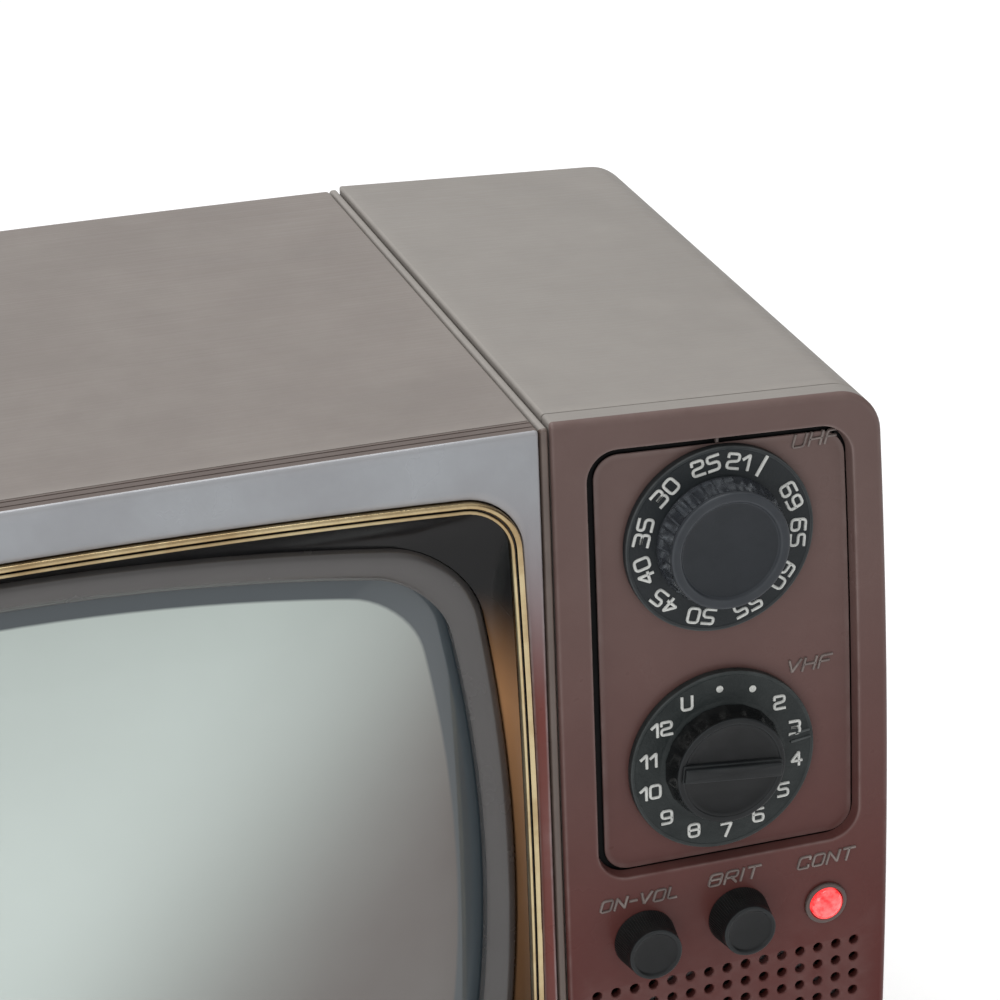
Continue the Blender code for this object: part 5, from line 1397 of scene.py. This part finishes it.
class TELEVISION_OT_vhf_tuning(PieceOperator, bpy.types.Operator):
    """Build the fixed VHF dial, its numbers, and the knob with its grip bar"""
    bl_idname = "television.vhf_tuning"
    bl_label = "VHF tuning"

    def build(self, sizes):
        dials = sizes.dials
        middle = (DIAL_X, VHF_Z)
        make_piece("vhf_disc", dial_disc(middle, 0.0060), ["channel dial black"], "set", ["vhf_dial"],
            wear=2000.0)
        face = DIAL_FRONT + 0.0002
        parts = []
        step = 360.0 / len(VHF_SIGNS)
        for index, text in enumerate(VHF_SIGNS):
            angle = math.radians(VHF_FIRST + index * step)
            to_place = round_dial(middle, angle, dials.vhf_radius, face, upright=True)
            if text == ".":
                place = (middle[0] + dials.vhf_radius * math.sin(angle),
                    middle[1] + dials.vhf_radius * math.cos(angle))
                rise = dials.number_rise
                dot = [(0.0010, face), (0.0010, face - rise * 0.6), (0.0007, face - rise)]
                parts += turned(dot, place, 20)
            else:
                parts += lettering(text, dials.number_height * 0.92, dials.number_width * 0.94,
                    dials.number_rise, dials.number_weight, to_place, spacing=0.38)
        make_piece("vhf_numbers", parts, ["numeral paint"], "set", wear=2500.0)
        marks = []
        for lift in (-0.0011, 0.0011):
            to_place = round_dial(middle, math.radians(83), 0.0228, face, upright=False)
            line = np.array([(lift, -0.0026), (lift, 0.0026)])
            marks += skin(to_place(stroke(line, False, 0.0004, dials.number_rise, 0.0)))
        make_piece("vhf_mark", marks, ["channel dial black"], "set", wear=1500.0)
        make_piece("vhf_grip", self.knob_parts(middle), ["channel knob", "knob skirt"], "vhf_tuning",
            ["vhf_knob"], sharp=24.0, wear=2500.0)

    def knob_parts(self, middle):
        """A faceted cone, a rounded rim, a face that dips either side of the grip bar, and the
        bar: an outline a little smaller at each step up."""
        _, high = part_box("vhf_knob")
        base = high[1] - FRONT_Y
        tip = -0.0057
        outer, ring = 0.0170, 0.0156
        count, per_facet = 18, 12
        sides = count * per_facet
        steps = np.linspace(0.0, 1.0, 5)[:, None]
        skirt = np.array([[outer, base]]) + steps * np.array([[ring - outer, tip + 0.0010 - base]])

        def facets(angle, row):
            """Facet: one over the cosine of the angle from its middle."""
            share = (angle * count / (2 * math.pi)) % 1.0 - 0.5
            return (np.cos(math.pi / count) / np.cos(share * 2 * math.pi / count) - 1) * (row < 4)

        parts = turned(skirt, middle, sides, ends=False, finish=1, waves=facets)
        cap = rounded_profile((ring, tip + 0.0010, 0), (ring, tip, 0.0009), (ring * 0.90, tip, 0.0003),
            (ring * 0.885, tip + 0.00025, 0.0003), (ring * 0.86, tip + 0.00025, 0.0), steps=6)
        parts += turned(cap, middle, sides, ends=False)
        turn = grip_angle()
        inward = np.linspace(1.0, 0.03, 22)[:, None]
        x, z = round_about(ring * 0.86 * inward, sides)
        beside = np.abs(x * math.cos(turn) - z * math.sin(turn)) / (ring * 0.86)
        hollow = 0.0010 * np.clip(1 - inward ** 6, 0, 1) * np.clip(beside / 0.5, 0, 1) ** 0.8
        rings = lifted(middle, x, z, tip + 0.00025 + hollow)
        parts += skin(rings, ends=False)
        parts.append(fan(rings[-1]))
        parts += shaft_hole(parts, base, tip, middle, sides)
        parts += self.bar(middle, turn, ring * 0.94, tip)
        return parts

    def bar(self, middle, turn, half, tip):
        """The grip bar: a low step and a narrower bar on it, with small chamfers."""
        along = np.array([math.sin(turn), math.cos(turn)])
        side = np.array([math.cos(turn), -math.sin(turn)])
        parts = []
        for width, reach, first, last in ((0.0052, 0.985, tip + 0.0016, tip - 0.0006),
            (0.0040, 0.96, tip - 0.0004, tip - 0.00178)):
            rings = []
            for shrink, depth in ((0.0, first), (0.0, last + 0.0003), (0.0001, last + 0.0001),
                (0.0003, last)):
                corners = rounded_box((-width / 2 + shrink, width / 2 - shrink),
                    (-half * reach + shrink, half * reach - shrink), (0.0004,) * 4, 3, 3)
                flat = middle + corners[:, :1] * side + corners[:, 1:] * along
                rings.append((flat, depth))
            parts += skin(rings_at(rings))
        return parts


def grip_angle():
    """The grip bar's clockwise angle from the top, at which it points to channel 4."""
    return math.radians(97.0)


def small_knob_parts(middle, tip, knurls):
    """A cone with fine ridges (radius times one plus a small cosine), a raised rim and a dished face."""
    base, rim_radius, foot_radius = -GAP, 0.0076, 0.0088
    per_ridge = 4
    sides = knurls * per_ridge
    steps = np.linspace(0.0, 1.0, 9)[:, None]
    skirt = np.array([[foot_radius, base]]) + steps * np.array([[rim_radius - foot_radius,
        tip + 0.0012 - base]])

    def ridges(angle, row):
        """Ridge: half a cosine below the cone, fading out at both ends."""
        fade = np.clip(row / 1.0, 0, 1) * np.clip((8 - row) / 1.0, 0, 1)
        return 0.022 * (np.cos(angle * knurls) - 1) / 2 * fade

    parts = turned(skirt, middle, sides, ends=False, waves=ridges)
    cap = rounded_profile((rim_radius, tip + 0.0012, 0), (rim_radius * 0.995, tip, 0.0009),
        (rim_radius * 0.86, tip, 0.0004), (rim_radius * 0.80, tip + 0.0005, 0.0004),
        (rim_radius * 0.74, tip + 0.0006, 0), steps=5)
    parts += turned(cap, middle, sides, ends=False, finish=1)
    inward = np.linspace(1.0, 0.05, 10)
    dish = [(rim_radius * 0.74 * share, tip + 0.0006 + 0.0003 * (1 - share ** 2)) for share in inward]
    parts += turned(dish, middle, sides, ends=False, finish=1)
    parts.append(fan(parts[-1][0][-sides:], 1))
    return parts + shaft_hole(parts, base, tip, middle, sides)


class TELEVISION_OT_small_knobs(PieceOperator, bpy.types.Operator):
    """Build the volume and brightness knobs"""
    bl_idname = "television.small_knobs"
    bl_label = "Volume and brightness"

    def build(self, sizes):
        for name in ("volume", "brightness"):
            low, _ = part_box(f"{name}_knob")
            parts = small_knob_parts(middle_of(f"{name}_knob"), low[1] - FRONT_Y, sizes.dials.knurls)
            make_piece(f"{name}_grip", parts, ["knurled black", "channel knob"], name, [f"{name}_knob"],
                sharp=40.0, wear=2500.0)


class TELEVISION_OT_lamp(PieceOperator, bpy.types.Operator):
    """Build the red lamp and its ring"""
    bl_idname = "television.lamp"
    bl_label = "Lamp"

    def build(self, sizes):
        low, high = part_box("lamp_bezel")
        middle = middle_of("lamp_bezel")
        outer, lens = (high[0] - low[0]) / 2, 0.0047
        barrel = lens + 0.0006
        ring = rounded_profile((barrel, PANEL_THICKNESS, 0), (barrel, -GAP, 0), (outer, -GAP, 0.0001),
            (outer - 0.0001, -0.0012, 0.0006), (lens + GAP, -0.0012, 0.0003),
            (lens + GAP, PANEL_THICKNESS, 0), steps=5)
        make_piece("lamp_ring", turned(ring, middle, 64, joined=True), ["lamp ring"],
            stands_for=["lamp_bezel"], wear=2500.0)
        angle = np.linspace(math.pi / 2 - 0.05, 0.0, 14)
        dome = [(lens * math.cos(a), -0.0012 - 0.0026 * math.sin(a) ** 1.2) for a in angle]
        make_piece("lamp_dome", turned(dome + [(lens, PANEL_THICKNESS)], middle, 64), ["lens"],
            stands_for=["lamp_lens"])


# Back and underside

COVER_FLANGE = 0.0100
COVER_TAPER = 0.0060
COVER_EDGE = 0.0040
COVER_CORNER = 0.0140
COVER_FRONT = CABINET_DEPTH + GAP
COVER_BACK = CABINET_DEPTH + 0.0400
HUMP_HALF = (0.0750, 0.0650)
HUMP_TAPER = 0.0180
HUMP_CORNER = 0.0200
VENT = (0.0040, 0.0400, 0.0100)
VENT_COUNT = 9


def cover_outline(inset):
    corner = max(COVER_CORNER - inset / 2, 0.004)
    return rounded_box((COVER_LOW[0] + inset, COVER_HIGH[0] - inset),
        (COVER_LOW[2] + inset, COVER_HIGH[2] - inset), (corner,) * 4)


def hump_outline(inset):
    half = (HUMP_HALF[0] - inset, HUMP_HALF[1] - inset)
    corner = max(HUMP_CORNER - inset / 2, 0.004)
    return rounded_box((SCREEN_X - half[0], SCREEN_X + half[0]), (SCREEN_Z - half[1], SCREEN_Z + half[1]),
        (corner,) * 4)


def slot_outline(x, z):
    """An upright vent slot with rounded ends, by its middle."""
    width, height, _ = VENT
    return rounded_box((x - width / 2, x + width / 2), (z - height / 2, z + height / 2),
        (width * 0.45,) * 4, 4, 2)


def back_vents():
    _, height, pitch = VENT
    places = []
    for side, count in ((-1, VENT_COUNT - 5), (1, VENT_COUNT)):
        middle = SCREEN_X + side * (HUMP_HALF[0] + pitch * (count + 1) / 2)
        for index in range(count):
            x = middle + (index - (count - 1) / 2) * pitch
            places += [(x, SCREEN_Z + pitch / 2 + height / 2), (x, SCREEN_Z - pitch / 2 - height / 2)]
    return [slot_outline(x, z) for x, z in places]


def hole_sleeves(loops, first, last):
    """The walls of holes: each loop carried straight from one depth to another."""
    parts = []
    for loop in loops:
        parts += skin(rings_at([(loop, first), (loop, last)]), ends=False)
    return parts


class TELEVISION_OT_rear_cover(PieceOperator, bpy.types.Operator):
    """Build the rear cover with its vents and the hump over the tube's neck"""
    bl_idname = "television.rear_cover"
    bl_label = "Rear cover"

    def build(self, sizes):
        flange = COVER_FRONT + PANEL_THICKNESS
        taper = COVER_FLANGE + COVER_TAPER
        t = PANEL_THICKNESS
        profile = rounded_profile((0.0, COVER_FRONT, 0), (0.0, flange, 0.0008), (COVER_FLANGE, flange, 0.002),
            (taper, COVER_BACK - COVER_EDGE, 0.002), (taper + COVER_EDGE, COVER_BACK, 0.002),
            (taper + COVER_EDGE + 0.003, COVER_BACK, 0.0), steps=5)
        outer = [(cover_outline(inset), depth) for inset, depth in profile]
        inner = [(cover_outline(COVER_FLANGE + t), COVER_FRONT), (cover_outline(COVER_FLANGE + t), flange),
            (cover_outline(taper + t), COVER_BACK - COVER_EDGE - t / 2),
            (cover_outline(taper + COVER_EDGE + t), COVER_BACK - t)]
        foot, crown = hump_outline(-0.0010), HUMP_TAPER
        hump = rounded_profile((-0.0010, COVER_BACK, 0), (0.0, COVER_BACK, 0.0010),
            (crown, BACK, 0.003), (crown + 0.004, BACK, 0), steps=6)
        hump_rings = [(hump_outline(inset), depth) for inset, depth in hump]
        hump_inner = [(hump_outline(t), COVER_BACK - t), (hump_outline(crown + t), BACK - t)]
        vents = back_vents()
        presets = [circle(middle_of(f"{name}_hold_knob"), 0.0026, 24) for name in ("vertical", "horizontal")]
        aerial = circle(middle_of("aerial_socket"), 0.0068, 32)
        x, z = middle_of("mains_inlet")
        inlet = rounded_box((x - 0.0113, x + 0.0113), (z - 0.0063, z + 0.0063), (0.0006,) * 4, 2, 1)
        holes = vents + presets + [aerial, inlet]
        pitch = VENT[2]
        crown_vents = [slot_outline(SCREEN_X + (index - (VENT_COUNT - 1) / 2) * pitch, SCREEN_Z)
            for index in range(VENT_COUNT)]
        parts = skin(rings_at(outer), ends=False) + skin(rings_at(inner), ends=False)
        parts += skin(rings_at([outer[0], inner[0]]), ends=False)
        parts.append(flat_fill([outer[-1][0], foot] + holes, COVER_BACK))
        parts.append(flat_fill([inner[-1][0], hump_inner[0][0]] + holes, COVER_BACK - t))
        parts += hole_sleeves(holes, COVER_BACK, COVER_BACK - t)
        parts += skin(rings_at(hump_rings), ends=False) + skin(rings_at(hump_inner), ends=False)
        parts.append(flat_fill([hump_rings[-1][0]] + crown_vents, BACK))
        parts.append(flat_fill([hump_inner[-1][0]] + crown_vents, BACK - t))
        parts += hole_sleeves(crown_vents, BACK, BACK - t)
        make_piece("rear_shell", parts, ["cover plastic"], stands_for=["rear_cover"])


class TELEVISION_OT_rear_fittings(PieceOperator, bpy.types.Operator):
    """Build the rear screws, the hold knobs, the aerial socket and the mains inlet"""
    bl_idname = "television.rear_fittings"
    bl_label = "Rear fittings"

    def build(self, sizes):
        for number in range(1, 5):
            self.build_screw(number)
        for name in ("vertical_hold", "horizontal_hold"):
            self.build_hold_knob(name)
        self.build_aerial()
        self.build_inlet()

    def build_screw(self, number):
        """A turned pan head whose cross recess is a dip: deep where a point lies within half
        the blade's width of either arm, fading towards the arm's end."""
        low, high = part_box(f"rear_screw_{number}")
        middle = middle_of(f"rear_screw_{number}")
        first, last = low[1] - FRONT_Y, high[1] - FRONT_Y
        head = 0.0036
        sides = 64
        under = turned([(0.0015, first), (0.0015, last - 0.0020), (head, last - 0.0020)], middle, sides,
            ends=False)
        share = np.linspace(1.0, 0.04, 22)[:, None]
        x, z = round_about(head * share, sides)
        dome = last - 0.0008 * np.clip(share, 0, 1) ** 4 - 0.0012 * (share > 0.999)
        arm = np.minimum(np.abs(x), np.abs(z))
        dip = 0.0011 * np.clip((0.00055 - arm) / 0.00025, 0, 1) \
            * np.clip((0.0021 - head * share) / 0.0006, 0, 1)
        rings = lifted(middle, x, z, dome - dip)
        lower = under[0][0][-sides:]
        parts = under + skin(np.concatenate([lower[None], rings]), ends=False) + [fan(rings[-1])]
        parts.append(fan(under[0][0][:sides]))
        make_piece(f"cover_screw_{number}", parts, ["steel"], stands_for=[f"rear_screw_{number}"],
            wear=2500.0)

    def build_hold_knob(self, name):
        """A small ridged knob, its radius cut by a cosine, with a pointer slot across its face."""
        middle = middle_of(f"{name}_knob")
        low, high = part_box(f"{name}_knob")
        last = high[1] - FRONT_Y
        near = COVER_BACK + GAP
        sides, ridges = 120, 30
        steps = np.linspace(0.0, 1.0, 7)[:, None]
        skirt = np.array([[0.0060, near]]) + steps * np.array([[-0.0005, last - 0.0008 - near]])

        def ridged(angle, row):
            """Ridge: half a cosine below the cone."""
            return 0.05 * (np.cos(angle * ridges) - 1) / 2 * np.clip((6 - row) / 1.0, 0, 1)

        parts = turned(skirt, middle, sides, ends=False, waves=ridged)
        share = np.linspace(1.0, 0.05, 16)[:, None]
        x, z = round_about(np.where(share > 0.999, skirt[-1, 0], 0.0051 * share), sides)
        level = np.where(share > 0.999, last - 0.0008, last)
        slot = 0.0012 * np.clip((0.0006 - np.abs(x)) / 0.0002, 0, 1) * (share < 0.97)
        rings = lifted(middle, x, z, level - slot)
        parts += skin(rings, ends=False) + [fan(rings[-1])]
        shaft = turned([(0.0020, low[1] - FRONT_Y), (0.0020, near)], middle, sides, ends=False)
        parts += shaft + [fan(shaft[0][0][:sides])]
        parts += skin(np.stack([shaft[0][0][-sides:], parts[0][0][:sides]]), ends=False)
        make_piece(f"{name}_grip", parts, ["knurled black"], name, [f"{name}_knob"], sharp=40.0,
            wear=2500.0)

    def build_aerial(self):
        low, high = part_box("aerial_socket")
        first, last = low[1] - FRONT_Y, high[1] - FRONT_Y
        profile = rounded_profile((0.0065, first, 0), (0.0065, COVER_BACK + GAP, 0),
            (0.0090, COVER_BACK + GAP, 0),
            (0.0090, COVER_BACK + 0.0020, 0.0004), (0.0065, COVER_BACK + 0.0020, 0),
            (0.0065, last, 0.0005), (0.0048, last, 0.0003), (0.0048, last - 0.009, 0))
        parts = turned(profile, middle_of("aerial_socket"), 64)
        pin = [(0.0011, last - 0.0090), (0.0011, last - 0.0030), (0.0006, last - 0.0022)]
        parts += turned(pin, middle_of("aerial_socket"), 20)
        make_piece("aerial_coupling", parts, ["steel"], stands_for=["aerial_socket"],
            wear=2500.0)

    def build_inlet(self):
        """A flanged well with rounded corners, and two round pins standing in it."""
        x, z = middle_of("mains_inlet")

        def box_outline(half_x, half_z, corner):
            return rounded_box((x - half_x, x + half_x), (z - half_z, z + half_z), (corner,) * 4, 5, 3)

        face = COVER_BACK + 0.0030
        well = COVER_BACK - 0.0120
        rings = [(box_outline(0.0110, 0.0060, 0.0005), COVER_BACK - 0.0140),
            (box_outline(0.0110, 0.0060, 0.0005), COVER_BACK + GAP),
            (box_outline(0.0140, 0.0090, 0.0020), COVER_BACK + GAP),
            (box_outline(0.0140, 0.0090, 0.0020), face - 0.0006),
            (box_outline(0.0134, 0.0084, 0.0016), face),
            (box_outline(0.0098, 0.0048, 0.0008), face),
            (box_outline(0.0095, 0.0045, 0.0006), face - 0.0004),
            (box_outline(0.0095, 0.0045, 0.0006), well)]
        parts = skin(rings_at(rings))
        pins = []
        for side in (-1, 1):
            pins += turned([(0.0012, well - 0.0005), (0.0012, COVER_BACK - 0.0014),
                (0.0008, COVER_BACK - 0.0010)],
                (x + side * 0.0052, z), 24, finish=1)
        make_piece("mains_well", parts + pins, ["cover plastic", "steel"], stands_for=["mains_inlet"],
            wear=2500.0)


class TELEVISION_OT_feet(PieceOperator, bpy.types.Operator):
    """Build the four rubber feet"""
    bl_idname = "television.feet"
    bl_label = "Feet"

    def build(self, sizes):
        for number in range(1, 5):
            self.build_foot(number)

    def build_foot(self, number):
        """A profile of (radius, height) carried round an upright axis."""
        low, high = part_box(f"foot_{number}")
        x, y = (low[0] + high[0]) / 2, (low[1] + high[1]) / 2
        radius, height = 0.0090, high[2]
        profile = rounded_profile((0.0030, 0.0022, 0), (0.0030, 0.0, 0.0004), (radius * 0.85, 0.0, 0.0012),
            (radius, height * 0.3, 0.001), (radius, height, 0.0))
        angle = np.arange(64) * 2 * math.pi / 64
        rings = np.stack([x + profile[:, :1] * np.cos(angle), y + profile[:, :1] * np.sin(angle),
            np.broadcast_to(profile[:, 1:2], (len(profile), 64))], axis=-1)
        make_piece(f"rubber_foot_{number}", skin(rings), ["rubber"], stands_for=[f"foot_{number}"])


CARRIED_FINISHES = {
    "steel": ["tube_band", "chassis_tray", "heat_sink", "filter_capacitor", "tuner_plate", "uhf_tuner",
        "vhf_tuner", "vhf_turret", "uhf_shaft", "vhf_shaft", "volume_shaft", "brightness_shaft",
        "volume_control", "brightness_control", "speaker_frame", "tube_screw_1", "tube_screw_2",
        "tube_screw_3", "tube_screw_4"],
    "copper": ["deflection_yoke", "transformer_coil"],
    "ferrite": ["transformer_core", "line_transformer", "speaker_magnet"],
    "circuit board": ["main_board", "tube_base_board", "hold_controls"],
    "cone paper": ["speaker_cone"],
    "funnel coating": ["lamp_holder"],
}


class TELEVISION_OT_inner_parts(PieceOperator, bpy.types.Operator):
    """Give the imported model's own inner parts their finishes"""
    bl_idname = "television.inner_parts"
    bl_label = "Inner parts"

    def build(self, sizes):
        for finish, nodes in CARRIED_FINISHES.items():
            material = finish_for(finish)
            for node in nodes:
                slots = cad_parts[node].material_slots
                for slot in slots:
                    slot.link = "OBJECT"
                    slot.material = material


# Stage

CAMERA_PLACE = (-0.15481, -0.89848, 0.62147)
CAMERA_ACROSS = (0.919659, -0.392711, 0.002476)
CAMERA_DOWN = (-0.154206, -0.366907, -0.917387)
CAMERA_SHIFT = (-0.34012, -0.05940)


class TELEVISION_OT_stage(PieceOperator, bpy.types.Operator):
    """Build the floor, the lights and the camera"""
    bl_idname = "television.stage"
    bl_label = "Stage"

    def build(self, sizes):
        stage = sizes.stage
        self.build_floor(stage)
        self.build_sky(stage)
        self.build_lights(stage)
        self.build_camera(stage)

    def build_floor(self, stage):
        mesh = bpy.data.meshes.new("floor")
        reach = 6.0
        mesh.from_pydata([(-reach, -reach, 0), (reach, -reach, 0), (reach, reach, 0), (-reach, reach, 0)],
            [], [(0, 1, 2, 3)])
        floor = bpy.data.objects.new("floor", mesh)
        bpy.context.scene.collection.objects.link(floor)
        material, tree, shader, position = start_material("floor")
        mottled = place_group(tree, mottle_group(), {"Position": position, "Base": (*stage.floor_colour, 1.0),
            "Second": (0.88, 0.88, 0.88, 1.0), "Scale": 3.0,
            "Amount": 0.3})
        tree.links.new(mottled["Colour"], shader.inputs["Base Color"])
        set_sheen(shader, roughness=0.8, emission_color=(1.0, 1.0, 1.0, 1.0),
            emission_strength=stage.floor_glow)
        mesh.materials.append(material)

    def build_sky(self, stage):
        """Light from all round, with a shaded part low on the right."""
        world = bpy.data.worlds.new("surround")
        bpy.context.scene.world = world
        world.use_nodes = True
        tree = world.node_tree
        background = tree.nodes["Background"]
        parts = split(tree, add_node(tree, "TexCoord")["Generated"])
        right = ranged(tree, parts["X"], 0.25, 0.8)
        low = ranged(tree, parts["Z"], 0.75, 0.25)
        sky = mixed(tree, combined(tree, "MULTIPLY", right, low), (*stage.sky_colour, 1.0),
            (*stage.shade_colour, 1.0))
        tree.links.new(sky, background.inputs["Color"])
        background.inputs["Strength"].default_value = stage.sky_strength

    def build_lights(self, stage):
        self.add_light("overhead", stage.overhead_power, (0.9, 0.9), (0.0, 0.1, 1.5), (0.0, 0.0, 0.1))
        self.add_light("front", stage.front_power, (0.8, 0.6), (-1.1, -1.2, 0.9), (0.0, -0.1, 0.1))

    def add_light(self, name, power, extent, place, target):
        light = bpy.data.lights.new(name, "AREA")
        light.shape = "RECTANGLE"
        light.size, light.size_y = extent
        light.energy = power
        lamp = bpy.data.objects.new(name, light)
        bpy.context.scene.collection.objects.link(lamp)
        lamp.location = place
        lamp.rotation_euler = (Vector(target) - Vector(place)).to_track_quat("-Z", "Y").to_euler()

    def build_camera(self, stage):
        camera = bpy.data.cameras.new("camera")
        camera.sensor_width = 36.0
        camera.lens = stage.focal_length
        camera.shift_x, camera.shift_y = CAMERA_SHIFT
        camera.clip_start, camera.clip_end = 0.05, 50.0
        holder = bpy.data.objects.new("camera", camera)
        bpy.context.scene.collection.objects.link(holder)
        across = Vector(CAMERA_ACROSS).normalized()
        up = -Vector(CAMERA_DOWN)
        up = (up - across * up.dot(across)).normalized()
        turn = Matrix((across, up, across.cross(up))).transposed()
        holder.rotation_euler = turn.to_euler()
        holder.location = CAMERA_PLACE
        bpy.context.scene.camera = holder


# Sidebar panel and registration

PIECES = (TELEVISION_OT_cabinet, TELEVISION_OT_bezel, TELEVISION_OT_screen, TELEVISION_OT_panel,
    TELEVISION_OT_uhf_tuning, TELEVISION_OT_vhf_tuning, TELEVISION_OT_small_knobs,
    TELEVISION_OT_lamp, TELEVISION_OT_rear_cover, TELEVISION_OT_rear_fittings, TELEVISION_OT_feet,
    TELEVISION_OT_inner_parts, TELEVISION_OT_stage)


class TELEVISION_PT_sidebar(bpy.types.Panel):
    """Sizes, colours and operators of the television"""
    bl_label = "Tube Television"
    bl_idname = "TELEVISION_PT_sidebar"
    bl_space_type = "VIEW_3D"
    bl_region_type = "UI"
    bl_category = "Television"

    def draw(self, context):
        layout = self.layout
        sizes = context.scene.tube_television
        for group in (sizes.mouldings, sizes.dials, sizes.colours, sizes.stage):
            column = layout.column(align=True)
            for name in group.__annotations__:
                column.prop(group, name)
        for operator in PIECES:
            layout.operator(operator.bl_idname)


CLASSES = (MouldingSizes, DialSizes, FinishColours, StageSettings, TelevisionSettings, *PIECES,
    TELEVISION_PT_sidebar)


def register():
    for item in CLASSES:
        bpy.utils.register_class(item)
    bpy.types.Scene.tube_television = PointerProperty(type=TelevisionSettings)


def unregister():
    del bpy.types.Scene.tube_television
    for item in reversed(CLASSES):
        bpy.utils.unregister_class(item)


def main():
    register()
    bpy.context.scene.view_settings.view_transform = "Standard"
    for operator in PIECES:
        group, name = operator.bl_idname.split(".")
        getattr(getattr(bpy.ops, group), name)()
    bpy.context.view_layer.update()


if __name__ == "__main__":
    main()
